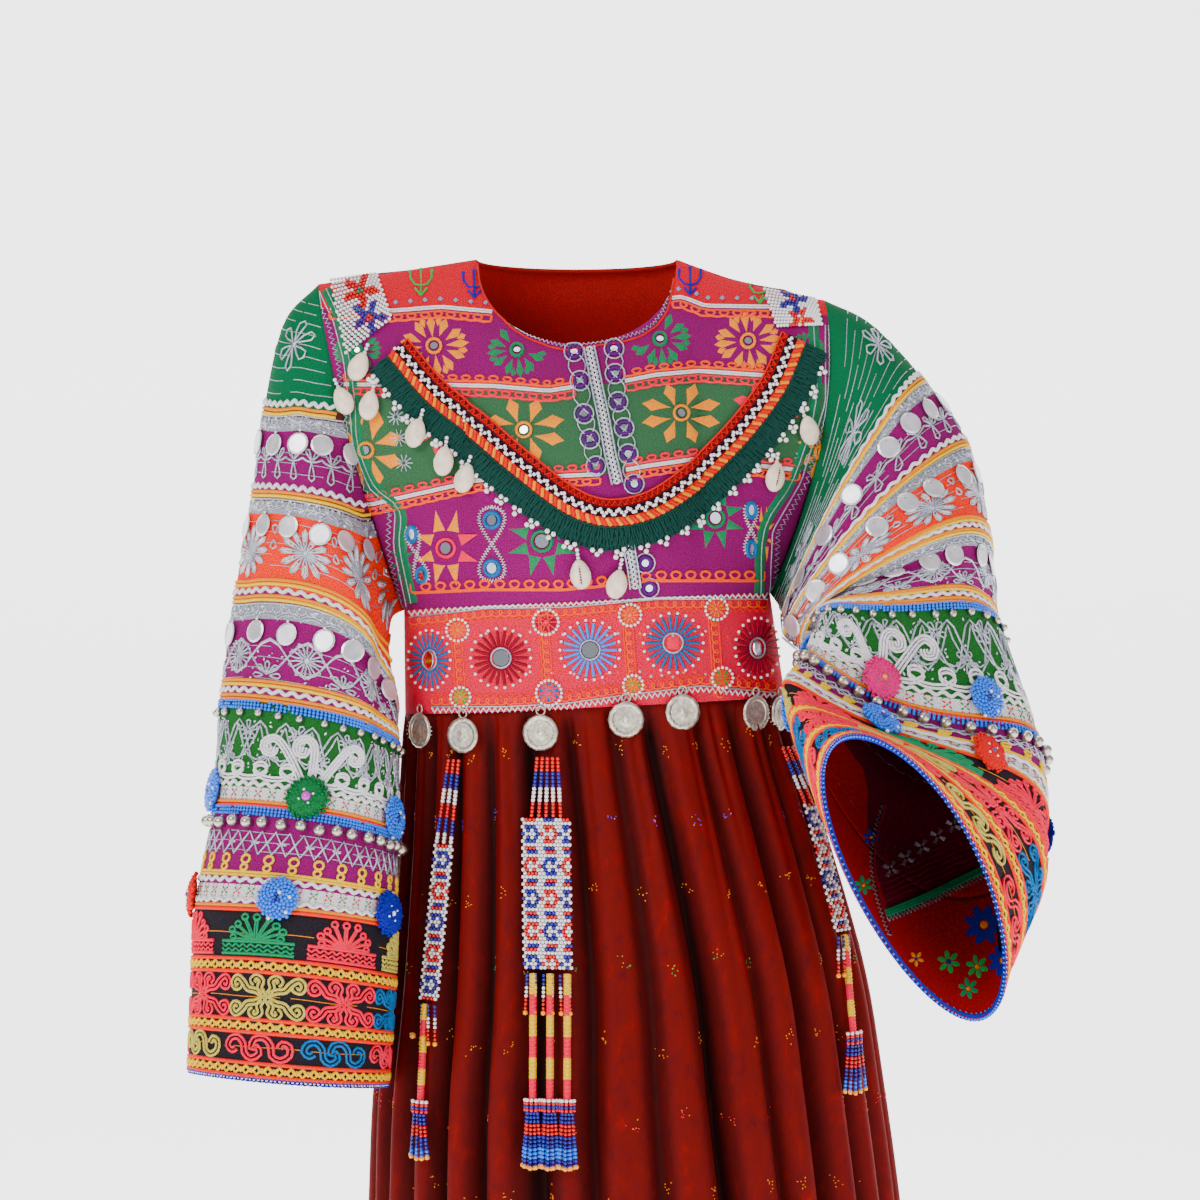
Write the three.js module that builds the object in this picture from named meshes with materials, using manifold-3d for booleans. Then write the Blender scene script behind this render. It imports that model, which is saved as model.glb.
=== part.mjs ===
import * as THREE from 'three';
import Module from 'manifold-3d';
import { mergeVertices } from 'three/addons/utils/BufferGeometryUtils.js';

const wasm = await Module();
wasm.setup();

// An embroidered velvet dress, worn, with banded sleeves and a gathered skirt. Sizes in millimetres.
// +X is the wearer's left, -Y is the front, +Z is up. The origin is the middle of the neck opening,
// level with the shoulders, where the wearer carries the dress.
const clothThickness = 1.8;
const seamGap = 0.3;
const trimLift = 0.8;

const bodiceColumns = 24;
const bodiceRows = 12;
const waistRows = 2;
const skirtColumns = 62;
const skirtRound = 2.2;
const waistRound = 2.3;
const shoulderShare = 0.3;
const chestFullness = 22;
const backFullness = 8;
const sidePull = 3;
const foldWidening = 0.35;

// The oval neck opening and the rounded ridge of the back just behind the shoulder seams.
const neck = {
  centreX: -3, halfWidth: 87, z: 14, y: 3, curve: 0.9,
  frontDrop: 78, frontDepth: 66, backDrop: 4, backDepth: 52,
};
const backRidge = { height: 11, at: 1 / bodiceRows, spread: 0.06, fade: 12 };
const leftShoulderSag = 4;

// Level sections of the body, a half width and a half depth about a centre, rising slightly to +X.
const waistTop = { z: -284, centreX: 6, halfWidth: 159, halfDepth: 112, rise: 0.047 };
const waistBottom = { z: -373, centreX: 13, halfWidth: 165, halfDepth: 115, rise: 0.048 };
const skirtSections = [
  { z: -373.3, centreX: 13, halfWidth: 165, halfDepth: 115, rise: 0.048, folds: 0.02 },
  { z: -388, centreX: 14.5, halfWidth: 168.5, halfDepth: 118, rise: 0.047, folds: 0.3 },
  { z: -420, centreX: 18, halfWidth: 174, halfDepth: 124, rise: 0.045, folds: 0.42 },
  { z: -500, centreX: 28, halfWidth: 189, halfDepth: 140, rise: 0.04, folds: 0.58 },
  { z: -610, centreX: 39, halfWidth: 209, halfDepth: 163, rise: 0.03, folds: 0.72 },
  { z: -705, centreX: 42, halfWidth: 222, halfDepth: 182, rise: 0.02, folds: 0.82 },
  { z: -805, centreX: 47, halfWidth: 231, halfDepth: 197, rise: 0.01, folds: 0.88 },
  { z: -1020, centreX: 55, halfWidth: 248, halfDepth: 217, rise: 0, folds: 0.95 },
  { z: -1255, centreX: 62, halfWidth: 266, halfDepth: 236, rise: 0, folds: 1 },
];

// Valleys between the skirt's folds: place across the panel at waist and hem, width and depth.
const frontFolds = [
  { waist: 0.055, hem: 0.05, width: 0.014, depth: 15 },
  { waist: 0.12, hem: 0.11, width: 0.016, depth: 20 },
  { waist: 0.19, hem: 0.175, width: 0.015, depth: 17 },
  { waist: 0.255, hem: 0.24, width: 0.014, depth: 20 },
  { waist: 0.325, hem: 0.3, width: 0.013, depth: 18 },
  { waist: 0.4, hem: 0.385, width: 0.022, depth: 24 },
  { waist: 0.462, hem: 0.46, width: 0.013, depth: 16 },
  { waist: 0.522, hem: 0.535, width: 0.012, depth: 14 },
  { waist: 0.575, hem: 0.64, width: 0.015, depth: 26 },
  { waist: 0.66, hem: 0.705, width: 0.013, depth: 17 },
  { waist: 0.735, hem: 0.765, width: 0.016, depth: 24 },
  { waist: 0.81, hem: 0.825, width: 0.013, depth: 16 },
  { waist: 0.88, hem: 0.885, width: 0.015, depth: 20 },
  { waist: 0.945, hem: 0.945, width: 0.013, depth: 14 },
];
const backFolds = [
  { waist: 0.06, hem: 0.055, width: 0.014, depth: 16 },
  { waist: 0.125, hem: 0.115, width: 0.015, depth: 19 },
  { waist: 0.2, hem: 0.185, width: 0.016, depth: 22 },
  { waist: 0.265, hem: 0.26, width: 0.013, depth: 15 },
  { waist: 0.335, hem: 0.325, width: 0.015, depth: 23 },
  { waist: 0.41, hem: 0.4, width: 0.014, depth: 18 },
  { waist: 0.475, hem: 0.475, width: 0.015, depth: 22 },
  { waist: 0.54, hem: 0.545, width: 0.013, depth: 16 },
  { waist: 0.61, hem: 0.62, width: 0.017, depth: 24 },
  { waist: 0.68, hem: 0.695, width: 0.013, depth: 17 },
  { waist: 0.745, hem: 0.76, width: 0.015, depth: 21 },
  { waist: 0.815, hem: 0.825, width: 0.013, depth: 16 },
  { waist: 0.88, hem: 0.885, width: 0.015, depth: 20 },
  { waist: 0.94, hem: 0.945, width: 0.013, depth: 15 },
];

// Sleeve sections, by the length of sleeve above them. Each is a ring through four points:
// outer edge, front, under side next to the body, and back. The first row is the armhole seam,
// whose lowest point is taken from the waist.
const sleeveTable = ['along', 'outer', 'front', 'under', 'back'];
const namedRows = (columns, rows) => rows.map((row) => (
  Object.fromEntries(columns.map((column, index) => [column, row[index]]))
));
const rightSleeve = namedRows(sleeveTable, [
  [0, [-227, -2, -8], [-199, -45, -140], null, [-199, 58, -140]],
  [45, [-257, -3, -40], [-203, -56, -167], [-161, -10, -296], [-206, 60, -163]],
  [113, [-275, -8, -118], [-206, -74, -204], [-164, -20, -305], [-221, 58, -201]],
  [184, [-284, -16, -192], [-202, -89, -246], [-165, -33, -324], [-224, 54, -246]],
  [265, [-297, -28, -274], [-196, -104, -291], [-161, -48, -360], [-221, 46, -300]],
  [367, [-308, -48, -373], [-200, -126, -383], [-156, -68, -409], [-230, 30, -397]],
  [455, [-312, -70, -458], [-213, -150, -461], [-155, -86, -482], [-240, 12, -473]],
  [502, [-319, -82, -503], [-220, -164, -504], [-155, -95, -523], [-244, 2, -516]],
  [545, [-325, -92, -543], [-228, -176, -541], [-154, -102, -559], [-246, -6, -555]],
  [592, [-326, -100, -588], [-231, -186, -584], [-155, -108, -604], [-247, -12, -602]],
  [694, [-328, -112, -679], [-235, -202, -678], [-161, -112, -691], [-252, -22, -696]],
]);
const leftSleeve = namedRows(sleeveTable, [
  [0, [212, -2, -22], [208, -45, -140], null, [208, 58, -145]],
  [45, [252, -3, -42], [222, -60, -146], [172, -14, -287], [234, 56, -150]],
  [113, [300, -5, -93], [236, -80, -166], [176, -34, -297], [255, 62, -182]],
  [184, [338, -9, -150], [247, -96, -208], [177, -60, -314], [275, 66, -247]],
  [265, [356, -10, -231], [270, -106, -237], [188, -84, -318], [289, 70, -318]],
  [367, [366, -15, -307], [265, -116, -290], [202, -106, -308], [297, 62, -398]],
  [455, [396, -30, -405], [268, -132, -371], [190, -124, -335], [302, 20, -458]],
  [502, [399, -42, -433], [254, -150, -380], [180, -138, -353], [300, -5, -500]],
  [545, [398, -58, -459], [243, -174, -386], [174, -150, -370], [299, -42, -534]],
  [592, [390, -92, -492], [237, -206, -389], [182, -168, -408], [305, -84, -575]],
  [694, [337, -185, -518], [231, -272, -392], [210, -207, -486], [322, -150, -631]],
]);
const cuffStart = 545;
const hollowStart = 40;
const sleeveSides = 24;
const sleeveRows = [0, 22, 45, 78, 113, 148, 184, 225, 265, 315, 367, 420, 480, 545];
const cuffRows = [545, 592, 640, 694];

// Soft hollows in the sleeves, pressed in about a point of the ring (degrees) and of its length.
const rightHollows = [
  { turn: 128, along: 270, turnSpread: 17, alongSpread: 150, depth: 11 },
  { turn: 300, along: 330, turnSpread: 20, alongSpread: 120, depth: 7 },
  { turn: 30, along: 80, turnSpread: 22, alongSpread: 60, depth: 5 },
];
const leftHollows = [
  { turn: 112, along: 296, turnSpread: 52, alongSpread: 20, depth: 14 },
  { turn: 48, along: 200, turnSpread: 30, alongSpread: 26, depth: 8 },
  { turn: 20, along: 350, turnSpread: 24, alongSpread: 24, depth: 6 },
  { turn: 250, along: 330, turnSpread: 40, alongSpread: 30, depth: 9 },
];

// Trims on the front, given by their place in the front view, X and Z.
const yokeLine = [
  [-161, -72], [-127, -111], [-91, -140], [-54, -173], [-7, -208],
  [28, -217], [71, -205], [125, -160], [169, -106], [190, -61],
];
const yokeProfile = [
  { across: -18, height: 2 },
  { across: -7, height: 2.8 },
  { across: 4, height: 2.2 },
];
const yokeSteps = 34;
const fringe = {
  from: 0.012, to: 0.965, strip: [4.4, 8], locks: 36, length: 17, thickness: 2.6,
  tip: 0.35, tipTop: 2.2, tipUnder: 0.8, hang: 0.35,
};
const braid = {
  width: 12,
  thickness: 1.3,
  steps: { upper: 12, lower: 3 },
  upper: [[8, -67], [14, -92], [20, -124], [26, -156], [32, -192]],
  lower: [[41, -247], [44, -260], [47, -274]],
};
const patchThickness = 2.4;
const patchLift = 1.25;
const patchSteps = 6;
const braidLift = 0.9;
const rightPatch = [[-216, -7], [-177, -1], [-162, -41], [-200, -71]];
const leftPatch = [[160, -15], [204, -24], [208, -46], [169, -48]];

const cowrie = { width: 18, length: 26, thickness: 11, sides: 8, rings: 4 };
const cowries = [
  { x: -188, z: -84, lean: 20, lift: 0.7 },
  { x: -200, z: -112, lean: -25, lift: 0.7 },
  { x: -178, z: -117, lean: 10, lift: 0.7 },
  { x: -137, z: -142, lean: 15, lift: 2.7 },
  { x: -113, z: -166, lean: 5, lift: 1.8 },
  { x: -95, z: -181, lean: 20, lift: 2.1 },
  { x: 1, z: -260, lean: -8, lift: 0.7 },
  { x: 31, z: -268, lean: 12, lift: 0.7 },
  { x: 194, z: -138, lean: -15, lift: 0.7 },
  { x: 164, z: -178, lean: 10, lift: 0.7 },
];
const coin = { radius: 14.5, thickness: 1.8, lug: 5, lugTop: 22, sides: 12, lift: 1.9, lugLift: 0.7 };
const coinPlaces = [
  { x: -134, z: -394 },
  { x: -97, z: -397 },
  { x: -32, z: -394 },
  { x: 39, z: -383 },
  { x: 86, z: -377 },
  { x: 148, z: -379 },
  { x: 169, z: -380 },
];

// Bead tassels hung at the waist, by their levels: strands, a netted strip, cords and small tassels.
const tassels = [
  {
    name: 'tassel_right', lift: 3.8, strandCount: 3, top: [-104, -417],
    strip: { top: [-112, -490], bottom: [-124, -620], width: 16 },
    cords: [{ x: -127, lean: -3 }], cordTop: -622, cordBottom: -702, tasselBottom: -752,
  },
  {
    name: 'tassel_centre', lift: 3.9, strandCount: 5, top: [-26, -414],
    strip: { top: [-27, -466], bottom: [-25, -590], width: 40 },
    cords: [{ x: -37, lean: 0 }, { x: -23, lean: 0 }, { x: -9, lean: 0 }],
    cordTop: -592, cordBottom: -694, tasselBottom: -752,
  },
  {
    name: 'tassel_left', lift: 5, strandCount: 3, top: [173, -408],
    strip: { top: [194, -458], bottom: [220, -566], width: 14 },
    cords: [{ x: 221, lean: 6 }], cordTop: -568, cordBottom: -648, tasselBottom: -700,
  },
];
const strand = { radius: 2, spread: 6, gather: 0.7, sink: 3, sides: 3, steps: 3 };
const headBar = { radius: 2.6, sides: 4, reach: 3 };
const net = { half: 1.6, steps: 4 };
const netFringe = { pitch: 7, root: 4, length: 34, radius: 1.7, sides: 3 };
const cord = { radius: 3.2, root: 8, sides: 5, steps: 3 };
const tasselHead = { radius: 6, length: 9, root: 2, sides: 6 };
const tasselStrand = {
  count: 5, gather: 0.8, sink: 3, spread: 15, radius: 1.9, sides: 3, fore: 2, aft: -0.4,
};

// Flat pompoms sewn on the sleeves, by turn round the ring and length of sleeve above them.
const pompom = { radius: 20, dip: 17.5, locks: 8, under: 4, over: 5, undercut: 0.9, lift: 0.5 };
const pompomReach = { turn: 26, along: 34, rim: 0.6 };
const rightPompoms = [
  { turn: 80, along: 442 }, { turn: 152, along: 442 }, { turn: 224, along: 442 },
  { turn: 296, along: 442 }, { turn: 8, along: 442 },
  { turn: 76, along: 534 }, { turn: 148, along: 534 }, { turn: 222, along: 534 },
  { turn: 296, along: 534 }, { turn: 0, along: 534 },
];
const leftPompoms = [
  { turn: 100, along: 442 }, { turn: 46, along: 442 }, { turn: 330, along: 442 },
  { turn: 258, along: 442 }, { turn: 182, along: 442 },
  { turn: 90, along: 530 }, { turn: 44, along: 530 }, { turn: 334, along: 534 },
  { turn: 262, along: 534 }, { turn: 186, along: 534 },
];

const colours = {
  velvet: 0x8a1410, embroidery: 0x8c3f78, band: 0xd83a50, green: 0x237a50, black: 0x2c2830,
  silver: 0xbdbdc4, coinMetal: 0xa8a49c, white: 0xece8e4, orange: 0xe0701e, wool: 0x0c4a40,
  blue: 0x5a8fd8, magenta: 0xb81c6c,
};
const pompomColours = [colours.blue, colours.magenta, colours.wool];
const roughness = { cloth: 0.9, shell: 0.35, beads: 0.4, metal: 0.4 };
const coinMetalness = 0.9;

// How finely places on the cloth are sought, how near two edge points count as one, and how far
// apart two directions may be and still be shared.
const search = { span: 440, step: 0.004, rounds: 40, pull: 0.7, least: 0.004, most: 0.99 };
const faceSearch = { reach: 0.5, edge: 0.99 };
const meetingPlaces = 20;
const oppositeLimit = -0.2;
const mergeReach = 1e-4;
// A seam's rim faces are split by where their ends lie, so that two rims at one seam are split alike.
const rimOrder = new THREE.Vector3(0.37, 0.21, 1);

const vector = (values) => new THREE.Vector3(values[0], values[1], values[2]);
const radians = (degrees) => (degrees * Math.PI) / 180;
const times = (count, make) => Array.from({ length: count }, (empty, index) => make(index));
const numbered = (name, index) => `${name}_${String(index + 1).padStart(2, '0')}`;

function geometryOf(points, faces) {
  const geometry = new THREE.BufferGeometry();
  const positions = points.flatMap((point) => point.toArray());
  geometry.setAttribute('position', new THREE.Float32BufferAttribute(positions, 3));
  geometry.setIndex(faces);
  return geometry;
}

// A smooth value through the rows of a table, by one of its columns.
function smoothValue(table, key, read, at) {
  const order = Math.sign(table[1][key] - table[0][key]);
  let index = 0;
  while (index < table.length - 2 && (table[index + 1][key] - at) * order < 0) {
    index += 1;
  }
  const before = table[Math.max(index - 1, 0)];
  const from = table[index];
  const to = table[index + 1];
  const after = table[Math.min(index + 2, table.length - 1)];
  const span = to[key] - from[key];
  const share = (at - from[key]) / span;
  const slopeFrom = index === 0
    ? (read(to) - read(from)) / span
    : (read(to) - read(before)) / (to[key] - before[key]);
  const slopeTo = index + 2 >= table.length
    ? (read(to) - read(from)) / span
    : (read(after) - read(from)) / (after[key] - from[key]);
  const share2 = share * share;
  const share3 = share2 * share;
  return (2 * share3 - 3 * share2 + 1) * read(from) + (share3 - 2 * share2 + share) * span * slopeFrom
    + (3 * share2 - 2 * share3) * read(to) + (share3 - share2) * span * slopeTo;
}

// A point of a level section of the body. Across runs from 0 at -X to 1 at +X; side is -1 for the front.
function sectionPoint(section, across, side, round, press = 0) {
  const angle = Math.PI * across;
  const power = 2 / round;
  const wide = Math.sign(Math.cos(angle)) * Math.abs(Math.cos(angle)) ** power;
  const deep = Math.sin(angle) ** power;
  const x = section.centreX - (section.halfWidth - press) * wide;
  const y = side * (section.halfDepth - press) * deep;
  return new THREE.Vector3(x, y, section.z + section.rise * (x - section.centreX));
}

function skirtSection(z) {
  const section = { z };
  for (const key of ['centreX', 'halfWidth', 'halfDepth', 'rise', 'folds']) {
    section[key] = smoothValue(skirtSections, 'z', (row) => row[key], z);
  }
  return section;
}

function skirtPoint(z, across, side) {
  const section = skirtSection(z);
  const down = (skirtSections[0].z - z) / (skirtSections[0].z - skirtSections.at(-1).z);
  let press = 0;
  for (const fold of side < 0 ? frontFolds : backFolds) {
    const middle = fold.waist + (fold.hem - fold.waist) * down;
    const away = (across - middle) / (fold.width * (1 + foldWidening * down));
    press += fold.depth * section.folds * Math.exp(-away * away);
  }
  return sectionPoint(section, across, side, skirtRound, press);
}

function waistSection(down) {
  const section = {};
  for (const key of Object.keys(waistTop)) {
    section[key] = THREE.MathUtils.lerp(waistTop[key], waistBottom[key], down);
  }
  return section;
}

// The face of the waistband and skirt in front view, without the folds.
function frontFace(x, z, lift) {
  const depthAt = (atX) => {
    const level = z - waistBottom.rise * (atX - waistBottom.centreX);
    const onBand = level > waistBottom.z;
    const down = (waistTop.z - level) / (waistTop.z - waistBottom.z);
    const section = onBand ? waistSection(down) : skirtSection(z);
    const round = onBand ? waistRound : skirtRound;
    const share = Math.min(Math.abs(atX - section.centreX) / section.halfWidth, faceSearch.edge);
    return -section.halfDepth * (1 - share ** round) ** (1 / round);
  };
  const { reach } = faceSearch;
  const slope = (depthAt(x + reach) - depthAt(x - reach)) / (2 * reach);
  const normal = new THREE.Vector3(slope, -1, 0).normalize();
  return new THREE.Vector3(x, depthAt(x), z).addScaledVector(normal, lift);
}

rightSleeve[0].under = sectionPoint(waistTop, 0, -1, waistRound).toArray();
leftSleeve[0].under = sectionPoint(waistTop, 1, -1, waistRound).toArray();

function sleevePoint(table, hollows, turn, along) {
  const parts = ['outer', 'front', 'under', 'back'].map((key) => new THREE.Vector3(
    smoothValue(table, 'along', (row) => row[key][0], along),
    smoothValue(table, 'along', (row) => row[key][1], along),
    smoothValue(table, 'along', (row) => row[key][2], along),
  ));
  const [outer, front, under, back] = parts;
  const centre = outer.clone().add(front).add(under).add(back).multiplyScalar(0.25);
  const wide = outer.clone().sub(under).multiplyScalar(0.5);
  const deep = front.clone().sub(back).multiplyScalar(0.5);
  const oval = outer.clone().add(under).sub(front).sub(back).multiplyScalar(0.25);
  const point = centre.clone()
    .addScaledVector(wide, Math.cos(turn))
    .addScaledVector(deep, Math.sin(turn))
    .addScaledVector(oval, Math.cos(2 * turn));
  const inward = centre.clone().sub(point).normalize();
  for (const hollow of hollows) {
    const away = turn - radians(hollow.turn);
    const turnShare = Math.atan2(Math.sin(away), Math.cos(away)) / radians(hollow.turnSpread);
    const alongShare = (along - hollow.along) / hollow.alongSpread;
    const depth = hollow.depth * Math.min(1, along / hollowStart);
    point.addScaledVector(inward, depth * Math.exp(-turnShare * turnShare - alongShare * alongShare));
  }
  return point;
}

// The upper edge of a bodice panel: shoulder seam, neckline, shoulder seam.
function bodiceTop(across, side) {
  const neckRight = new THREE.Vector3(neck.centreX - neck.halfWidth, neck.y, neck.z);
  const neckLeft = new THREE.Vector3(neck.centreX + neck.halfWidth, neck.y, neck.z);
  if (across <= shoulderShare) {
    return vector(rightSleeve[0].outer).lerp(neckRight, across / shoulderShare);
  }
  if (across >= 1 - shoulderShare) {
    const share = (across - 1 + shoulderShare) / shoulderShare;
    const point = neckLeft.lerp(vector(leftSleeve[0].outer), share);
    point.z -= leftShoulderSag * Math.sin(Math.PI * share);
    return point;
  }
  const angle = Math.PI * (across - shoulderShare) / (1 - 2 * shoulderShare);
  const drop = side < 0 ? neck.frontDrop : neck.backDrop;
  const depth = side < 0 ? neck.frontDepth : neck.backDepth;
  return new THREE.Vector3(
    neck.centreX - neck.halfWidth * Math.cos(angle),
    neck.y + side * depth * Math.sin(angle),
    neck.z - drop * Math.sin(angle) ** neck.curve,
  );
}

// A bodice panel fills its four edges: shoulders and neck, waist, and half of each armhole.
function bodicePoint(across, down, side) {
  const turn = side < 0 ? Math.PI * down : 2 * Math.PI - Math.PI * down;
  const top = bodiceTop(across, side);
  const bottom = sectionPoint(waistTop, across, side, waistRound);
  const right = sleevePoint(rightSleeve, [], turn, 0);
  const left = sleevePoint(leftSleeve, [], turn, 0);
  const topRight = bodiceTop(0, side);
  const topLeft = bodiceTop(1, side);
  const bottomRight = sectionPoint(waistTop, 0, side, waistRound);
  const bottomLeft = sectionPoint(waistTop, 1, side, waistRound);
  const bendRight = right.sub(topRight.lerp(bottomRight, down));
  const bendLeft = left.sub(topLeft.lerp(bottomLeft, down));
  const point = top.lerp(bottom, down)
    .addScaledVector(bendRight, (1 - across) ** sidePull)
    .addScaledVector(bendLeft, across ** sidePull);
  const fullness = side < 0 ? chestFullness : backFullness;
  point.y += side * fullness * Math.sin(Math.PI * down) * Math.sin(Math.PI * across);
  if (side > 0) {
    const away = (down - backRidge.at) / backRidge.spread;
    const edge = Math.min(1, backRidge.fade * across, backRidge.fade * (1 - across));
    point.z += down > 0 ? backRidge.height * edge * Math.exp(-away * away) : 0;
  }
  return point;
}

// A cloth panel is a grid of outer points. A ring panel closes on itself along each row.
function makePanel(name, rows, columns, ring, outward, pointAt) {
  const grid = [];
  for (let row = 0; row <= rows; row += 1) {
    for (let column = 0; column < (ring ? columns : columns + 1); column += 1) {
      grid.push(pointAt(column / columns, row / rows, row));
    }
  }
  const width = ring ? columns : columns + 1;
  const triangles = [];
  for (let row = 0; row < rows; row += 1) {
    for (let column = 0; column < columns; column += 1) {
      const next = (column + 1) % width;
      const above = row * width;
      const below = above + width;
      const corners = [above + column, above + next, below + next, below + column];
      if (outward < 0) {
        corners.reverse();
      }
      const [a, b, c, d] = corners;
      if (grid[a].distanceTo(grid[c]) <= grid[b].distanceTo(grid[d])) {
        triangles.push([a, b, c], [a, c, d]);
      } else {
        triangles.push([a, b, d], [b, c, d]);
      }
    }
  }
  const normals = grid.map(() => new THREE.Vector3());
  for (const [a, b, c] of triangles) {
    const face = grid[b].clone().sub(grid[a]).cross(grid[c].clone().sub(grid[a]));
    [a, b, c].forEach((index) => normals[index].add(face));
  }
  normals.forEach((normal) => normal.normalize());
  return { name, rows, columns, width, ring, grid, triangles, normals };
}

// Where panels meet they share one inward direction, so that their edges stay side by side.
function joinNormals(panels) {
  const meeting = new Map();
  for (const panel of panels) {
    panel.grid.forEach((point, index) => {
      const key = point.toArray().map((value) => Math.round(value * meetingPlaces)).join(' ');
      meeting.set(key, [...(meeting.get(key) ?? []), panel.normals[index]]);
    });
  }
  for (const normals of meeting.values()) {
    const shared = normals.map((own) => {
      const sum = new THREE.Vector3();
      normals.filter((other) => other.dot(own) > oppositeLimit).forEach((other) => sum.add(other));
      return sum.normalize();
    });
    normals.forEach((normal, index) => normal.copy(shared[index]));
  }
}

// Draws each edge of a panel back by half the seam gap, in the plane of the cloth.
function openSeams(panel) {
  const { rows, columns, width, ring, grid, normals } = panel;
  const moves = grid.map(() => new THREE.Vector3());
  const pull = (index, inside, beside, otherSide) => {
    const along = grid[beside].clone().sub(grid[otherSide]).normalize();
    const move = grid[inside].clone().sub(grid[index]);
    move.addScaledVector(normals[index], -move.dot(normals[index]));
    move.addScaledVector(along, -move.dot(along));
    moves[index].add(move.setLength(seamGap / 2));
  };
  const wrap = (column) => (ring ? (column + width) % width : Math.min(Math.max(column, 0), width - 1));
  for (let column = 0; column < width; column += 1) {
    pull(column, width + column, wrap(column + 1), wrap(column - 1));
    const last = rows * width;
    pull(last + column, last - width + column, last + wrap(column + 1), last + wrap(column - 1));
  }
  if (!ring) {
    for (let row = 0; row <= rows; row += 1) {
      const above = Math.max(row - 1, 0) * width;
      const below = Math.min(row + 1, rows) * width;
      pull(row * width, row * width + 1, below, above);
      pull(row * width + columns, row * width + columns - 1, below + columns, above + columns);
    }
  }
  grid.forEach((point, index) => point.add(moves[index]));
}

// Closes an outer skin and its inner points into one solid, with a rim along every free edge.
function closedSkin(outer, inner, triangles) {
  const count = outer.length;
  const faces = [];
  const edges = new Set();
  for (const [a, b, c] of triangles) {
    faces.push(a, b, c, a + count, c + count, b + count);
    [`${a} ${b}`, `${b} ${c}`, `${c} ${a}`].forEach((edge) => edges.add(edge));
  }
  for (const edge of edges) {
    const [a, b] = edge.split(' ').map(Number);
    if (!edges.has(`${b} ${a}`)) {
      const rise = outer[b].clone().sub(outer[a]).dot(rimOrder);
      const first = rise > 0 ? [b, a, a + count] : [b, a, b + count];
      const second = rise > 0 ? [b, a + count, b + count] : [a, a + count, b + count];
      faces.push(...first, ...second);
    }
  }
  return geometryOf([...outer, ...inner], faces);
}

const group = new THREE.Group();

function addMesh(name, geometry, colour, rough = roughness.cloth, metalness = 0) {
  const material = new THREE.MeshStandardMaterial({ color: colour, roughness: rough, metalness });
  const mesh = new THREE.Mesh(geometry, material);
  mesh.name = name;
  group.add(mesh);
  return mesh;
}

// The level direction of a waist or hem edge keeps its rim flat.
function flattenRow(panel, row, rise) {
  for (let column = 0; column < panel.width; column += 1) {
    const normal = panel.normals[row * panel.width + column];
    normal.z = 0;
    normal.z = rise * normal.normalize().x;
    normal.normalize();
  }
}

const bodicePanel = (name, side) => makePanel(
  name, bodiceRows, bodiceColumns, false, side, (across, down) => bodicePoint(across, down, side),
);
const waistPanel = (name, side) => makePanel(
  name, waistRows, bodiceColumns, false, side,
  (across, down) => sectionPoint(waistSection(down), across, side, waistRound),
);
const skirtPanel = (name, side) => makePanel(
  name, skirtSections.length - 1, skirtColumns, false, side,
  (across, down, row) => skirtPoint(skirtSections[row].z, across, side),
);
const sleevePanel = (name, table, hollows, rows, outward) => makePanel(
  name, rows.length - 1, sleeveSides, true, outward,
  (across, down, row) => sleevePoint(table, hollows, 2 * Math.PI * across, rows[row]),
);

const bodiceFront = bodicePanel('bodice_front', -1);
const bodiceBack = bodicePanel('bodice_back', 1);
const waistFront = waistPanel('waistband_front', -1);
const waistBack = waistPanel('waistband_back', 1);
const skirtFront = skirtPanel('skirt_front', -1);
const skirtBack = skirtPanel('skirt_back', 1);
const sleeveRight = sleevePanel('sleeve_right', rightSleeve, rightHollows, sleeveRows, -1);
const sleeveLeft = sleevePanel('sleeve_left', leftSleeve, leftHollows, sleeveRows, 1);
const cuffRight = sleevePanel('cuff_right', rightSleeve, rightHollows, cuffRows, -1);
const cuffLeft = sleevePanel('cuff_left', leftSleeve, leftHollows, cuffRows, 1);

const cloth = [
  { panel: bodiceFront, colour: colours.embroidery },
  { panel: bodiceBack, colour: colours.velvet },
  { panel: waistFront, colour: colours.band },
  { panel: waistBack, colour: colours.velvet },
  { panel: skirtFront, colour: colours.velvet },
  { panel: skirtBack, colour: colours.velvet },
  { panel: sleeveRight, colour: colours.green },
  { panel: sleeveLeft, colour: colours.green },
  { panel: cuffRight, colour: colours.black },
  { panel: cuffLeft, colour: colours.black },
];
joinNormals(cloth.map((piece) => piece.panel));
flattenRow(waistFront, waistRows, waistBottom.rise);
flattenRow(waistBack, waistRows, waistBottom.rise);
flattenRow(skirtFront, 0, waistBottom.rise);
flattenRow(skirtBack, 0, waistBottom.rise);
cloth.forEach((piece) => openSeams(piece.panel));
for (const { panel, colour } of cloth) {
  const inner = panel.grid.map((point, index) => (
    point.clone().addScaledVector(panel.normals[index], -clothThickness)
  ));
  addMesh(panel.name, closedSkin(panel.grid, inner, panel.triangles), colour);
}

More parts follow.
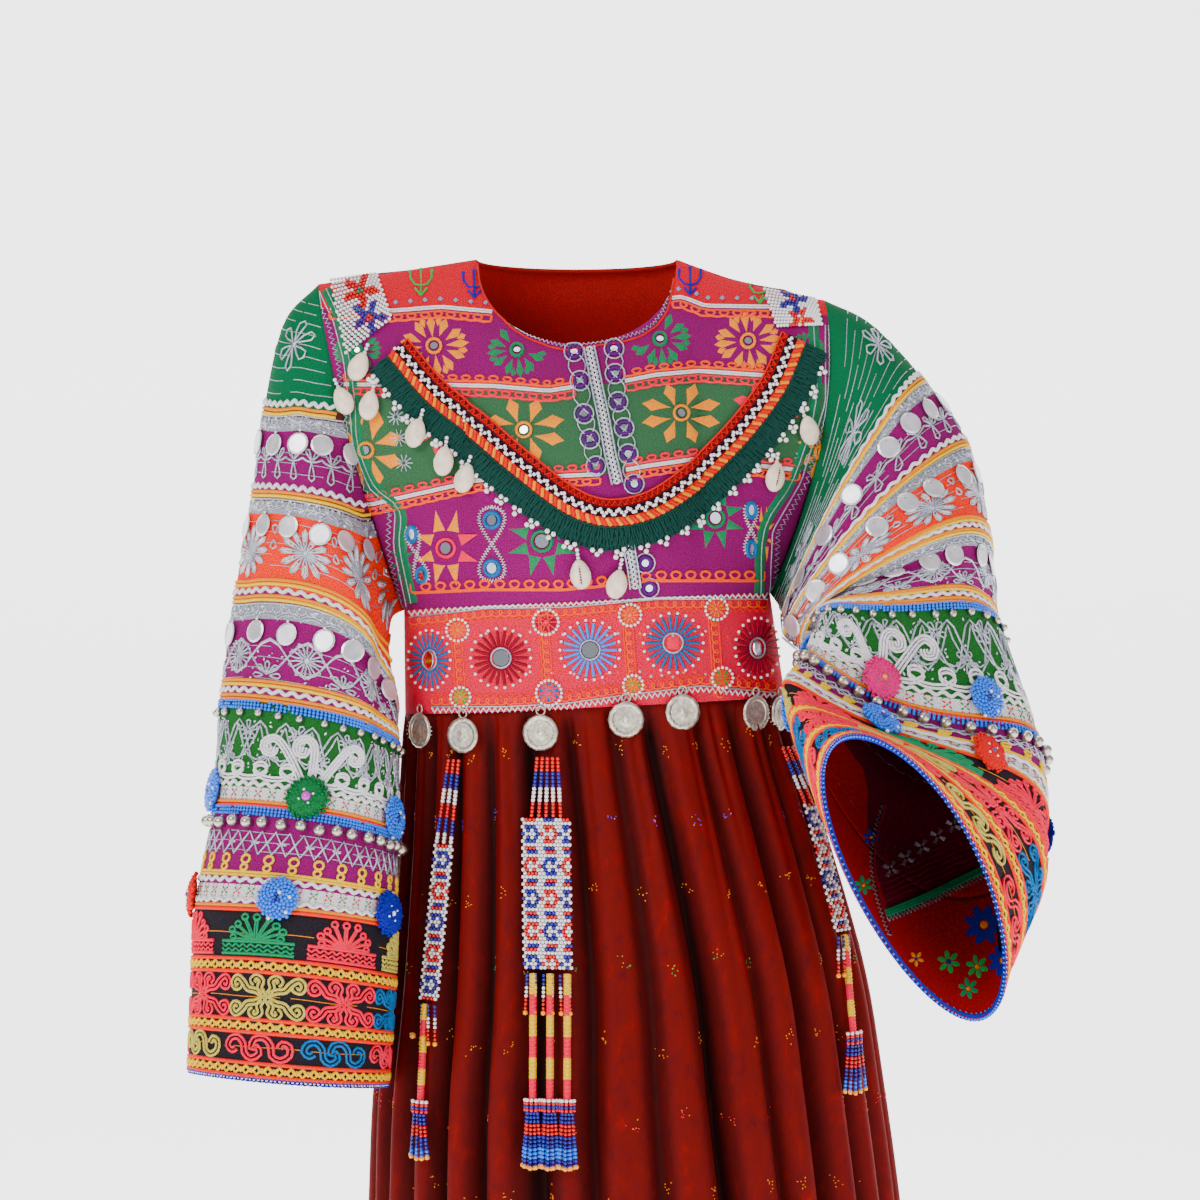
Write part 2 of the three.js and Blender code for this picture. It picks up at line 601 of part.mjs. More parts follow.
// A point on a panel's own faces, moved out by a lift.
function panelPoint(panel, across, down, lift) {
  const columnAt = across * panel.columns;
  const rowAt = Math.min(Math.max(down, 0), 1) * panel.rows;
  const lastColumn = panel.columns - 1;
  const column = panel.ring ? Math.floor(columnAt) : Math.min(Math.max(Math.floor(columnAt), 0), lastColumn);
  const row = Math.min(Math.floor(rowAt), panel.rows - 1);
  const u = columnAt - column;
  const v = rowAt - row;
  const wrap = (value) => (panel.ring ? ((value % panel.width) + panel.width) % panel.width : value);
  const a = row * panel.width + wrap(column);
  const b = row * panel.width + wrap(column + 1);
  const c = (row + 1) * panel.width + wrap(column + 1);
  const d = (row + 1) * panel.width + wrap(column);
  let shares;
  if (panel.grid[a].distanceTo(panel.grid[c]) <= panel.grid[b].distanceTo(panel.grid[d])) {
    shares = u >= v ? [[a, 1 - u], [b, u - v], [c, v]] : [[a, 1 - v], [c, u], [d, v - u]];
  } else {
    shares = u + v <= 1 ? [[a, 1 - u - v], [b, u], [d, v]] : [[b, 1 - v], [c, u + v - 1], [d, 1 - u]];
  }
  const point = new THREE.Vector3();
  const normal = new THREE.Vector3();
  for (const [index, share] of shares) {
    point.addScaledVector(panel.grid[index], share);
    normal.addScaledVector(panel.normals[index], share);
  }
  normal.normalize();
  return { point: point.addScaledVector(normal, lift), normal };
}

// The shares across and down the bodice front that show at X and Z in the front view.
function frontShares(x, z) {
  const { step, pull, least, most } = search;
  const pointAt = (atAcross, atDown) => panelPoint(bodiceFront, atAcross, atDown, 0).point;
  let across = 0.5 + x / search.span;
  let down = 0.5;
  for (let round = 0; round < search.rounds; round += 1) {
    const here = pointAt(across, down);
    const right = pointAt(across + step, down).sub(here).multiplyScalar(1 / step);
    const lower = pointAt(across, down + step).sub(here).multiplyScalar(1 / step);
    const size = right.x * lower.z - right.z * lower.x;
    const missX = x - here.x;
    const missZ = z - here.z;
    across += pull * (missX * lower.z - missZ * lower.x) / size;
    down += pull * (missZ * right.x - missX * right.z) / size;
    across = Math.min(Math.max(across, least), most);
    down = Math.min(Math.max(down, least), most);
  }
  return { across, down };
}

function frontPlace(x, z, lift) {
  const { across, down } = frontShares(x, z);
  return panelPoint(bodiceFront, across, down, lift);
}

// A strip that lies on the bodice: rows of places on the panel, each with its own height.
function stripOnBodice(name, rows, colour, lift = trimLift) {
  const width = rows[0].length;
  const skin = (share) => rows.flat().map(({ across, down, height }) => (
    panelPoint(bodiceFront, across, down, lift + share * height).point
  ));
  const lower = skin(0);
  const upper = skin(1);
  const triangles = [];
  for (let row = 0; row < rows.length - 1; row += 1) {
    for (let column = 0; column < width - 1; column += 1) {
      const a = row * width + column;
      triangles.push([a, a + width, a + width + 1], [a, a + width + 1, a + 1]);
    }
  }
  return addMesh(name, faceOutwards(closedSkin(upper, lower, triangles)), colour);
}

// Places beside a line drawn in the front view.
function besideLine(line, share, across) {
  const points = line.map(([x, z]) => new THREE.Vector3(x, 0, z));
  const curve = new THREE.CatmullRomCurve3(points, false, 'centripetal');
  const point = curve.getPointAt(share);
  const tangent = curve.getTangentAt(share);
  return { x: point.x + tangent.z * across, z: point.z - tangent.x * across };
}

function besideShares(line, share, aside) {
  const { x, z } = besideLine(line, share, aside);
  return frontShares(x, z);
}

const yokeRows = times(yokeSteps + 1, (index) => yokeProfile.map(({ across, height }) => ({
  ...besideShares(yokeLine, index / yokeSteps, across), height,
})));
stripOnBodice('yoke_trim', yokeRows, colours.orange);

for (const part of ['upper', 'lower']) {
  const steps = braid.steps[part];
  const rows = times(steps + 1, (index) => [-0.5, 0.5].map((share) => ({
    ...besideShares(braid[part], index / steps, share * braid.width), height: braid.thickness,
  })));
  stripOnBodice(`placket_braid_${part}`, rows, colours.silver, braidLift);
}

function patchRows(corners) {
  const [topRight, topLeft, bottomLeft, bottomRight] = corners.map(([x, z]) => frontShares(x, z));
  const mix = (from, to, share) => ({
    across: THREE.MathUtils.lerp(from.across, to.across, share),
    down: THREE.MathUtils.lerp(from.down, to.down, share),
  });
  return times(patchSteps + 1, (row) => {
    const from = mix(topRight, bottomRight, row / patchSteps);
    const to = mix(topLeft, bottomLeft, row / patchSteps);
    return times(patchSteps, (column) => ({
      ...mix(from, to, column / (patchSteps - 1)), height: patchThickness,
    }));
  });
}
stripOnBodice('shoulder_patch_right', patchRows(rightPatch), colours.white, patchLift);
stripOnBodice('shoulder_patch_left', patchRows(leftPatch), colours.white, patchLift);

// The wool fringe: a narrow strip whose lower rim grows a tapered lock at every other step.
function woolFringe() {
  const steps = fringe.locks * 2 + 1;
  const points = [];
  const corner = (share, across, height) => {
    const place = besideLine(yokeLine, share, across);
    return frontPlace(place.x, place.z, trimLift + height).point;
  };
  for (let step = 0; step <= steps; step += 1) {
    const share = fringe.from + ((fringe.to - fringe.from) * step) / steps;
    points.push(
      corner(share, fringe.strip[0], fringe.thickness), corner(share, fringe.strip[1], fringe.thickness),
      corner(share, fringe.strip[1], 0), corner(share, fringe.strip[0], 0),
    );
  }
  const faces = [];
  const quad = (a, b, c, d) => faces.push(a, b, c, a, c, d);
  for (let step = 0; step < steps; step += 1) {
    const from = step * 4;
    const to = from + 4;
    for (const side of [0, 2, 3]) {
      const next = (side + 1) % 4;
      quad(from + side, from + next, to + next, to + side);
    }
    if (step % 2 === 0) {
      quad(from + 1, from + 2, to + 2, to + 1);
      continue;
    }
    const middle = fringe.from + ((fringe.to - fringe.from) * (step + 0.5)) / steps;
    const root = besideLine(yokeLine, middle, fringe.strip[1]);
    const end = besideLine(yokeLine, middle, fringe.strip[1] + fringe.length);
    const slant = { x: end.x, z: end.z - fringe.hang * Math.abs(end.x - root.x) };
    const half = fringe.tip * (points[to + 1].distanceTo(points[from + 1]));
    const along = points[to + 1].clone().sub(points[from + 1]).normalize();
    const tip = points.length;
    const { tipTop, tipUnder } = fringe;
    for (const [side, height] of [[-1, tipTop], [-1, tipUnder], [1, tipUnder], [1, tipTop]]) {
      const base = frontPlace(slant.x, slant.z, trimLift + height).point;
      points.push(base.addScaledVector(along, side * half));
    }
    const root4 = [from + 1, from + 2, to + 2, to + 1];
    for (let side = 0; side < 4; side += 1) {
      const next = (side + 1) % 4;
      quad(root4[side], root4[next], tip + next, tip + side);
    }
    quad(tip, tip + 1, tip + 2, tip + 3);
  }
  const last = steps * 4;
  quad(0, 3, 2, 1);
  quad(last, last + 1, last + 2, last + 3);
  return geometryOf(points, faces);
}

// Turns a closed geometry right side out where its volume comes out negative.
function faceOutwards(geometry) {
  const position = geometry.getAttribute('position');
  const index = geometry.getIndex().array;
  let volume = 0;
  const corner = [new THREE.Vector3(), new THREE.Vector3(), new THREE.Vector3()];
  for (let face = 0; face < index.length; face += 3) {
    corner.forEach((point, place) => point.fromBufferAttribute(position, index[face + place]));
    volume += corner[0].dot(corner[1].clone().cross(corner[2]));
  }
  if (volume < 0) {
    for (let face = 0; face < index.length; face += 3) {
      [index[face], index[face + 1]] = [index[face + 1], index[face]];
    }
  }
  return geometry;
}
addMesh('yoke_fringe', faceOutwards(woolFringe()), colours.wool);

// Sets a shape down at a point, its own +Z turned to face along a normal and its +Y kept upright.
function settle(mesh, point, normal, lean = 0) {
  const up = new THREE.Vector3(0, 0, 1);
  const side = up.clone().cross(normal).normalize();
  const upright = normal.clone().cross(side);
  mesh.quaternion.setFromRotationMatrix(new THREE.Matrix4().makeBasis(side, upright, normal));
  mesh.rotateZ(radians(lean));
  mesh.position.copy(point);
}

cowries.forEach(({ x, z, lean, lift }, index) => {
  const geometry = new THREE.SphereGeometry(0.5, cowrie.sides, cowrie.rings);
  geometry.scale(cowrie.width, cowrie.length, cowrie.thickness);
  const mesh = addMesh(numbered('cowrie', index), geometry, colours.white, roughness.shell);
  const { point, normal } = frontPlace(x, z, lift + cowrie.thickness / 2);
  settle(mesh, point, normal, lean);
});

// A coin with the small lug that its ring goes through.
function coinGeometry() {
  const shape = new THREE.Shape();
  const open = Math.asin(coin.lug / 2 / coin.radius);
  shape.moveTo(coin.lug / 2, coin.lugTop);
  shape.lineTo(-coin.lug / 2, coin.lugTop);
  for (let side = 0; side <= coin.sides; side += 1) {
    const turn = Math.PI / 2 + open + ((2 * Math.PI - 2 * open) * side) / coin.sides;
    shape.lineTo(coin.radius * Math.cos(turn), coin.radius * Math.sin(turn));
  }
  shape.closePath();
  return new THREE.ExtrudeGeometry(shape, { depth: coin.thickness, bevelEnabled: false, curveSegments: 1 });
}

// A coin lies against the band at its lug and against the skirt at its lower edge.
coinPlaces.forEach(({ x, z }, index) => {
  const name = numbered('coin', index);
  const mesh = addMesh(name, coinGeometry(), colours.coinMetal, roughness.metal, coinMetalness);
  const upper = frontFace(x, z + coin.lugTop, coin.lugLift);
  const lower = frontFace(x, z - coin.radius, coin.lift);
  const beside = frontFace(x + 1, z, coin.lift).sub(frontFace(x - 1, z, coin.lift));
  const normal = beside.cross(upper.clone().sub(lower)).normalize();
  const share = coin.radius / (coin.radius + coin.lugTop);
  settle(mesh, lower.lerp(upper, share), normal);
});

// A rod of a few flat sides along a list of points.
function rod(points, radius, sides) {
  const vertices = [];
  points.forEach((point, place) => {
    const before = points[Math.max(place - 1, 0)];
    const after = points[Math.min(place + 1, points.length - 1)];
    const along = after.clone().sub(before).normalize();
    const across = new THREE.Vector3(0, 1, 0).cross(along).normalize();
    const out = along.clone().cross(across);
    for (let side = 0; side < sides; side += 1) {
      const turn = (2 * Math.PI * (side + 0.5)) / sides;
      const vertex = point.clone().addScaledVector(across, radius * Math.cos(turn));
      vertices.push(vertex.addScaledVector(out, radius * Math.sin(turn)));
    }
  });
  const faces = [];
  for (let place = 0; place < points.length - 1; place += 1) {
    for (let side = 0; side < sides; side += 1) {
      const a = place * sides + side;
      const b = place * sides + ((side + 1) % sides);
      faces.push(a, b, b + sides, a, b + sides, a + sides);
    }
  }
  const last = (points.length - 1) * sides;
  for (let side = 1; side < sides - 1; side += 1) {
    faces.push(0, side + 1, side, last, last + side, last + side + 1);
  }
  return faceOutwards(geometryOf(vertices, faces));
}

function toSolid(geometry) {
  geometry.deleteAttribute('normal');
  geometry.deleteAttribute('uv');
  const merged = mergeVertices(geometry, mergeReach);
  const vertProperties = Float32Array.from(merged.getAttribute('position').array);
  const triVerts = Uint32Array.from(merged.getIndex().array);
  return new wasm.Manifold(new wasm.Mesh({ numProp: 3, vertProperties, triVerts }));
}

function joined(geometries) {
  const solid = geometries.map(toSolid).reduce((whole, piece) => whole.add(piece));
  const mesh = solid.getMesh();
  const geometry = new THREE.BufferGeometry();
  geometry.setAttribute('position', new THREE.Float32BufferAttribute(mesh.vertProperties, 3));
  geometry.setIndex(new THREE.Uint32BufferAttribute(mesh.triVerts, 1));
  return geometry;
}

// A hanging line on the skirt's face between two levels.
function hangingLine(from, to, lift, steps) {
  return times(steps + 1, (index) => {
    const share = index / steps;
    const x = THREE.MathUtils.lerp(from[0], to[0], share);
    const z = THREE.MathUtils.lerp(from[1], to[1], share);
    return frontFace(x, z, lift);
  });
}

// The netted strip of a tassel, from its top to its bottom.
function netStrip({ strip, lift }) {
  const outer = [];
  const inner = [];
  const triangles = [];
  for (let step = 0; step <= net.steps; step += 1) {
    const x = THREE.MathUtils.lerp(strip.top[0], strip.bottom[0], step / net.steps);
    const z = THREE.MathUtils.lerp(strip.top[1], strip.bottom[1], step / net.steps);
    for (const side of [-0.5, 0.5]) {
      outer.push(frontFace(x + side * strip.width, z, lift + net.half));
      inner.push(frontFace(x + side * strip.width, z, lift - net.half));
    }
    if (step < net.steps) {
      const a = step * 2;
      triangles.push([a, a + 2, a + 3], [a, a + 3, a + 1]);
    }
  }
  return faceOutwards(closedSkin(outer, inner, triangles));
}

// A wrapped cord with a small beaded tassel at its end.
function wrappedCord({ x, lean }, { lift, cordTop, cordBottom, tasselBottom }) {
  const end = [x + lean, cordBottom];
  const headStart = [end[0], end[1] + tasselHead.root];
  const headEnd = [end[0], end[1] - tasselHead.length];
  const strands = times(tasselStrand.count, (index) => {
    const share = index / (tasselStrand.count - 1) - 0.5;
    const root = share * tasselHead.radius * tasselStrand.gather;
    const from = [end[0] + root, headEnd[1] + tasselStrand.sink];
    const to = [end[0] + share * tasselStrand.spread, tasselBottom];
    const depth = lift + (index % 2 ? tasselStrand.fore : tasselStrand.aft);
    return rod(hangingLine(from, to, depth, 1), tasselStrand.radius, tasselStrand.sides);
  });
  return [
    rod(hangingLine([x, cordTop + cord.root], end, lift, cord.steps), cord.radius, cord.sides),
    rod(hangingLine(headStart, headEnd, lift, 1), tasselHead.radius, tasselHead.sides),
    ...strands,
  ];
}

// A bead tassel: strands to a netted strip, then wrapped cords that end in small beaded tassels.
function beadTassel(tassel) {
  const { lift, strip, top } = tassel;
  const middle = (tassel.strandCount - 1) / 2;
  const strands = times(tassel.strandCount, (index) => {
    const offset = (index - middle) * strand.spread;
    const from = [top[0] + offset * strand.gather, top[1]];
    const to = [strip.top[0] + offset, strip.top[1] - strand.sink];
    return rod(hangingLine(from, to, lift, strand.steps), strand.radius, strand.sides);
  });
  const reach = middle * strand.spread * strand.gather + headBar.reach;
  const bar = [frontFace(top[0] - reach, top[1], lift), frontFace(top[0] + reach, top[1], lift)];
  const shortLocks = Math.round(strip.width / netFringe.pitch);
  const locks = times(shortLocks, (index) => {
    const x = strip.bottom[0] + strip.width * ((index + 0.5) / shortLocks - 0.5);
    const from = [x, strip.bottom[1] + netFringe.root];
    const to = [x, strip.bottom[1] - netFringe.length];
    return rod(hangingLine(from, to, lift, 1), netFringe.radius, netFringe.sides);
  });
  const cords = tassel.cords.flatMap((place) => wrappedCord(place, tassel));
  const head = rod(bar, headBar.radius, headBar.sides);
  return joined([...strands, head, netStrip(tassel), ...locks, ...cords]);
}
tassels.forEach((tassel) => addMesh(tassel.name, beadTassel(tassel), colours.white, roughness.beads));

// A flat pompom of cut yarn, with a soft notched edge.
function pompomGeometry() {
  const rim = times(pompom.locks * 2, (index) => {
    const turn = (Math.PI * index) / pompom.locks;
    const radius = index % 2 ? pompom.dip : pompom.radius;
    return [radius * Math.cos(turn), radius * Math.sin(turn)];
  });
  const points = [new THREE.Vector3(0, 0, 0), new THREE.Vector3(0, 0, pompom.under + pompom.over)];
  const faces = [];
  rim.forEach(([x, y], index) => {
    points.push(new THREE.Vector3(x * pompom.undercut, y * pompom.undercut, 0));
    points.push(new THREE.Vector3(x, y, pompom.under));
    const low = 2 + index * 2;
    const high = low + 1;
    const nextLow = 2 + ((index + 1) % rim.length) * 2;
    const nextHigh = nextLow + 1;
    faces.push(0, nextLow, low, low, nextLow, nextHigh, low, nextHigh, high, 1, high, nextHigh);
  });
  return geometryOf(points, faces);
}

// A point on a sleeve or its cuff, by turn and length of sleeve.
function onSleeve(sleeve, cuff, turn, along) {
  const rows = along < cuffStart ? sleeveRows : cuffRows;
  let row = 0;
  while (row < rows.length - 2 && rows[row + 1] < along) {
    row += 1;
  }
  const down = (row + (along - rows[row]) / (rows[row + 1] - rows[row])) / (rows.length - 1);
  return panelPoint(along < cuffStart ? sleeve : cuff, turn / 360, down, 0);
}

// A pompom lies flat on the highest part of the cloth below it.
function addPompoms(side, sleeve, cuff, places) {
  places.forEach(({ turn, along }, index) => {
    const { point, normal } = onSleeve(sleeve, cuff, turn, along);
    let highest = 0;
    for (let aside = -pompomReach.turn; aside <= pompomReach.turn; aside += 1) {
      for (let below = -pompomReach.along; below <= pompomReach.along; below += 1) {
        const near = onSleeve(sleeve, cuff, turn + aside, along + below).point.sub(point);
        const height = near.dot(normal);
        const away = near.addScaledVector(normal, -height).length();
        if (away < pompom.radius * pompom.undercut + pompomReach.rim) {
          highest = Math.max(highest, height);
        }
      }
    }
    const colour = pompomColours[index % pompomColours.length];
    const mesh = addMesh(numbered(`pompom_${side}`, index), pompomGeometry(), colour);
    settle(mesh, point.addScaledVector(normal, highest + pompom.lift), normal);
  });
}
addPompoms('right', sleeveRight, cuffRight, rightPompoms);
addPompoms('left', sleeveLeft, cuffLeft, leftPompoms);

export default group;
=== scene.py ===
import math
import random

import bmesh
import bpy
import numpy as np
from mathutils import Matrix, Vector


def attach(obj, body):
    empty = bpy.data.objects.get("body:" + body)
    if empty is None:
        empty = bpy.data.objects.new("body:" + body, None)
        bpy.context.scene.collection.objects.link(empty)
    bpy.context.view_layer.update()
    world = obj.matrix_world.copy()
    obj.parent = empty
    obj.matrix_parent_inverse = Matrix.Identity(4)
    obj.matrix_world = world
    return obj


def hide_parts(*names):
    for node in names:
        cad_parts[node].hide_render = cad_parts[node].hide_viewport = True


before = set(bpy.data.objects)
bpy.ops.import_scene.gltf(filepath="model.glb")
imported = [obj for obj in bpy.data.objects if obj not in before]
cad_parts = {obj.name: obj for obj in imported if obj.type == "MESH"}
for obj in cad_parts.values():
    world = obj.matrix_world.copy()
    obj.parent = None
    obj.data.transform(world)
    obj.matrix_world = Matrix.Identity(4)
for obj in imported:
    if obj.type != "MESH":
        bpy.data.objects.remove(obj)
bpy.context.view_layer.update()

# A worn velvet dress: gathered skirt, banded sleeves, embroidered yoke, beads, shells and coins.
# Sizes are written in millimetres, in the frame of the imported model; mm turns them into metres.
mm = 0.001
random.seed(7)


# Camera, lights and the plain studio around the dress
studio = {
    "cameraPlace": (0.0174, -3.2, -0.28275),
    "lens": 110.3,
    "floor": -1.42,
    "backdrop": 5.2,
    "curve": 1.6,
    "width": 16.0,
    "front": -6.5,
    "height": 5.5,
    "grey": 0.82,
    "glow": 2.4,
    "world": 0.9,
    "worldStrength": 0.5,
    "aim": (0.02, 0, -0.4),
    "curveSteps": 8,
}
lamps = {
    "keyLight": {"place": (-1.9, -2.3, 1.5), "size": 1.7, "power": 88},
    "fillLight": {"place": (2.1, -2.4, 0.4), "size": 2.2, "power": 22},
    "topLight": {"place": (0.0, 0.3, 2.0), "size": 2.0, "power": 26},
    "backLight": {"place": (0.6, 1.6, 2.2), "size": 1.4, "power": 16},
}


def grey(value):
    return (value,) * 3 + (1,)


def addObject(name, data):
    made = bpy.data.objects.new(name, data)
    bpy.context.collection.objects.link(made)
    return made


def buildStudio():
    camera = addObject("camera", bpy.data.cameras.new("camera"))
    camera.location = studio["cameraPlace"]
    camera.rotation_euler = (math.radians(90), 0, 0)
    camera.data.lens = studio["lens"]
    bpy.context.scene.camera = camera
    for name, lamp in lamps.items():
        light = addObject(name, bpy.data.lights.new(name, "AREA"))
        light.data.energy = lamp["power"]
        light.data.size = lamp["size"]
        light.location = lamp["place"]
        aim = Vector(studio["aim"]) - Vector(lamp["place"])
        light.rotation_euler = aim.to_track_quat("-Z", "Y").to_euler()
    world = bpy.data.worlds.new("studioWorld")
    bpy.context.scene.world = world
    world.use_nodes = True
    background = world.node_tree.nodes["Background"]
    background.inputs["Color"].default_value = grey(studio["world"])
    background.inputs["Strength"].default_value = studio["worldStrength"]
    bm = bmesh.new()
    left = -studio["width"] / 2
    start = bm.verts.new((left, studio["front"], studio["floor"]))
    line = [start]
    for step in range(studio["curveSteps"] + 1):
        turn = math.radians(90 * step / studio["curveSteps"])
        y = studio["backdrop"] - studio["curve"] + studio["curve"] * math.sin(turn)
        z = studio["floor"] + studio["curve"] * (1 - math.cos(turn))
        line.append(bm.verts.new((left, y, z)))
    line.append(bm.verts.new((left, studio["backdrop"], studio["height"])))
    edges = [bm.edges.new(pair) for pair in zip(line[:-1], line[1:])]
    grown = bmesh.ops.extrude_edge_only(bm, edges=edges)
    sideVerts = [item for item in grown["geom"] if isinstance(item, bmesh.types.BMVert)]
    bmesh.ops.translate(bm, verts=sideVerts, vec=(studio["width"], 0, 0))
    mesh = bpy.data.meshes.new("floor")
    bm.to_mesh(mesh)
    bm.free()
    for face in mesh.polygons:
        face.use_smooth = True
    floor = addObject("floor", mesh)
    material = bpy.data.materials.new("studioGrey")
    material.use_nodes = True
    shader = material.node_tree.nodes["Principled BSDF"]
    shader.inputs["Base Color"].default_value = grey(studio["grey"])
    shader.inputs["Roughness"].default_value = 0.95
    shader.inputs["Specular IOR Level"].default_value = 0.1
    shader.inputs["Emission Color"].default_value = grey(1)
    shader.inputs["Emission Strength"].default_value = studio["glow"]
    mesh.materials.append(material)


buildStudio()
print("studio ready")


# The form of the dress, section by section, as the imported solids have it
neck = {"centreX": -3, "halfWidth": 87, "z": 14, "y": 3, "frontDrop": 78, "frontDepth": 66,
        "backDrop": 4, "backDepth": 52}
bodiceForm = {"shoulderShare": 0.3, "chestFullness": 22, "backFullness": 8, "sidePull": 3,
              "sagLeft": 4, "ridge": 11, "ridgeAt": 1 / 12, "ridgeSpread": 0.06}
rounding = {"waist": 2.3, "skirt": 2.2}
# Sections of waist and skirt: z, middle x, half width, half depth, rise to the left, share of the folds
waistTop = (-284, 6, 159, 112, 0.047, 0)
waistBottom = (-373, 13, 165, 115, 0.048, 0)
skirtSections = np.array([
    (-373.3, 13, 165, 115, 0.048, 0.02),
    (-388, 14.5, 168.5, 118, 0.047, 0.3),
    (-420, 18, 174, 124, 0.045, 0.42),
    (-500, 28, 189, 140, 0.04, 0.58),
    (-610, 39, 209, 163, 0.03, 0.72),
    (-705, 42, 222, 182, 0.02, 0.82),
    (-805, 47, 231, 197, 0.01, 0.88),
    (-1020, 55, 248, 217, 0, 0.95),
    (-1255, 62, 266, 236, 0, 1),
])
# Folds: place across at the waist and at the hem, width, depth
frontFolds = [
    (0.055, 0.05, 0.014, 15), (0.12, 0.11, 0.016, 20), (0.19, 0.175, 0.015, 17), (0.255, 0.24, 0.014, 20),
    (0.325, 0.3, 0.013, 18), (0.4, 0.385, 0.022, 24), (0.462, 0.46, 0.013, 16), (0.522, 0.535, 0.012, 14),
    (0.575, 0.64, 0.015, 26), (0.66, 0.705, 0.013, 17), (0.735, 0.765, 0.016, 24), (0.81, 0.825, 0.013, 16),
    (0.88, 0.885, 0.015, 20), (0.945, 0.945, 0.013, 14),
]
backFolds = [
    (0.06, 0.055, 0.014, 16), (0.125, 0.115, 0.015, 19), (0.2, 0.185, 0.016, 22), (0.265, 0.26, 0.013, 15),
    (0.335, 0.325, 0.015, 23), (0.41, 0.4, 0.014, 18), (0.475, 0.475, 0.015, 22), (0.54, 0.545, 0.013, 16),
    (0.61, 0.62, 0.017, 24), (0.68, 0.695, 0.013, 17), (0.745, 0.76, 0.015, 21), (0.815, 0.825, 0.013, 16),
    (0.88, 0.885, 0.015, 20), (0.94, 0.945, 0.013, 15),
]
# Sleeve rings: length of sleeve above, then the outer, front, under and back points
rightSleeve = np.array([
    (0, -227, -2, -8, -199, -45, -140, -153, 0, -291.473, -199, 58, -140),
    (45, -257, -3, -40, -203, -56, -167, -161, -10, -296, -206, 60, -163),
    (113, -275, -8, -118, -206, -74, -204, -164, -20, -305, -221, 58, -201),
    (184, -284, -16, -192, -202, -89, -246, -165, -33, -324, -224, 54, -246),
    (265, -297, -28, -274, -196, -104, -291, -161, -48, -360, -221, 46, -300),
    (367, -308, -48, -373, -200, -126, -383, -156, -68, -409, -230, 30, -397),
    (455, -312, -70, -458, -213, -150, -461, -155, -86, -482, -240, 12, -473),
    (502, -319, -82, -503, -220, -164, -504, -155, -95, -523, -244, 2, -516),
    (545, -325, -92, -543, -228, -176, -541, -154, -102, -559, -246, -6, -555),
    (592, -326, -100, -588, -231, -186, -584, -155, -108, -604, -247, -12, -602),
    (694, -328, -112, -679, -235, -202, -678, -161, -112, -691, -252, -22, -696),
])
leftSleeve = np.array([
    (0, 212, -2, -22, 208, -45, -140, 165, 0, -276.527, 208, 58, -145),
    (45, 252, -3, -42, 222, -60, -146, 172, -14, -287, 234, 56, -150),
    (113, 300, -5, -93, 236, -80, -166, 176, -34, -297, 255, 62, -182),
    (184, 338, -9, -150, 247, -96, -208, 177, -60, -314, 275, 66, -247),
    (265, 356, -10, -231, 270, -106, -237, 188, -84, -318, 289, 70, -318),
    (367, 366, -15, -307, 265, -116, -290, 202, -106, -308, 297, 62, -398),
    (455, 396, -30, -405, 268, -132, -371, 190, -124, -335, 302, 20, -458),
    (502, 399, -42, -433, 254, -150, -380, 180, -138, -353, 300, -5, -500),
    (545, 398, -58, -459, 243, -174, -386, 174, -150, -370, 299, -42, -534),
    (592, 390, -92, -492, 237, -206, -389, 182, -168, -408, 305, -84, -575),
    (694, 337, -185, -518, 231, -272, -392, 210, -207, -486, 322, -150, -631),
])
# Hollows: turn round the sleeve, length of sleeve above, spread of each, depth
rightHollows = [(128, 270, 17, 150, 11), (300, 330, 20, 120, 7), (30, 80, 22, 60, 5)]
leftHollows = [(112, 296, 52, 20, 14), (48, 200, 30, 26, 8), (20, 350, 24, 24, 6), (250, 330, 40, 30, 9)]
hollowStart = 40
cuffStart = 545
# Finer creases of the cloth, by the same columns as the hollows
rightCreases = [(100, 150, 9, 60, 3.5), (62, 60, 12, 26, 3), (20, 250, 10, 55, 2.5), (150, 420, 10, 60, 3),
                (200, 240, 14, 80, 5), (245, 420, 12, 90, 4), (330, 200, 14, 60, 4), (270, 120, 16, 50, 4),
                (48, 610, 12, 60, 2.5), (215, 600, 14, 60, 3), (110, 560, 9, 70, 2), (350, 460, 12, 60, 2.5)]
leftCreases = [(60, 240, 26, 9, 4), (95, 262, 30, 8, 5), (120, 330, 24, 10, 4), (30, 150, 14, 30, 4),
               (75, 120, 12, 40, 4), (140, 220, 20, 20, 5), (10, 300, 18, 14, 3), (70, 400, 22, 12, 3),
               (220, 200, 20, 30, 6), (270, 260, 24, 22, 6), (300, 420, 20, 30, 4), (200, 470, 20, 24, 4)]


def throughRows(places, values, at):
    # a smooth curve through the rows of a table, with the slope of each row from its neighbours
    places = np.asarray(places, float)
    values = np.asarray(values, float).reshape(len(places), -1)
    slopes = np.empty_like(values)
    slopes[1:-1] = (values[2:] - values[:-2]) / (places[2:] - places[:-2])[:, None]
    slopes[0] = (values[1] - values[0]) / (places[1] - places[0])
    slopes[-1] = (values[-1] - values[-2]) / (places[-1] - places[-2])
    at = np.asarray(at, float)
    index = np.clip(np.searchsorted(places, at, side="right") - 1, 0, len(places) - 2)
    span = (places[index + 1] - places[index])[..., None]
    share = (at[..., None] - places[index][..., None]) / span
    cube = share ** 3
    square = share ** 2
    return ((2 * cube - 3 * square + 1) * values[index] + (cube - 2 * square + share) * span * slopes[index]
            + (3 * square - 2 * cube) * values[index + 1] + (cube - square) * span * slopes[index + 1])


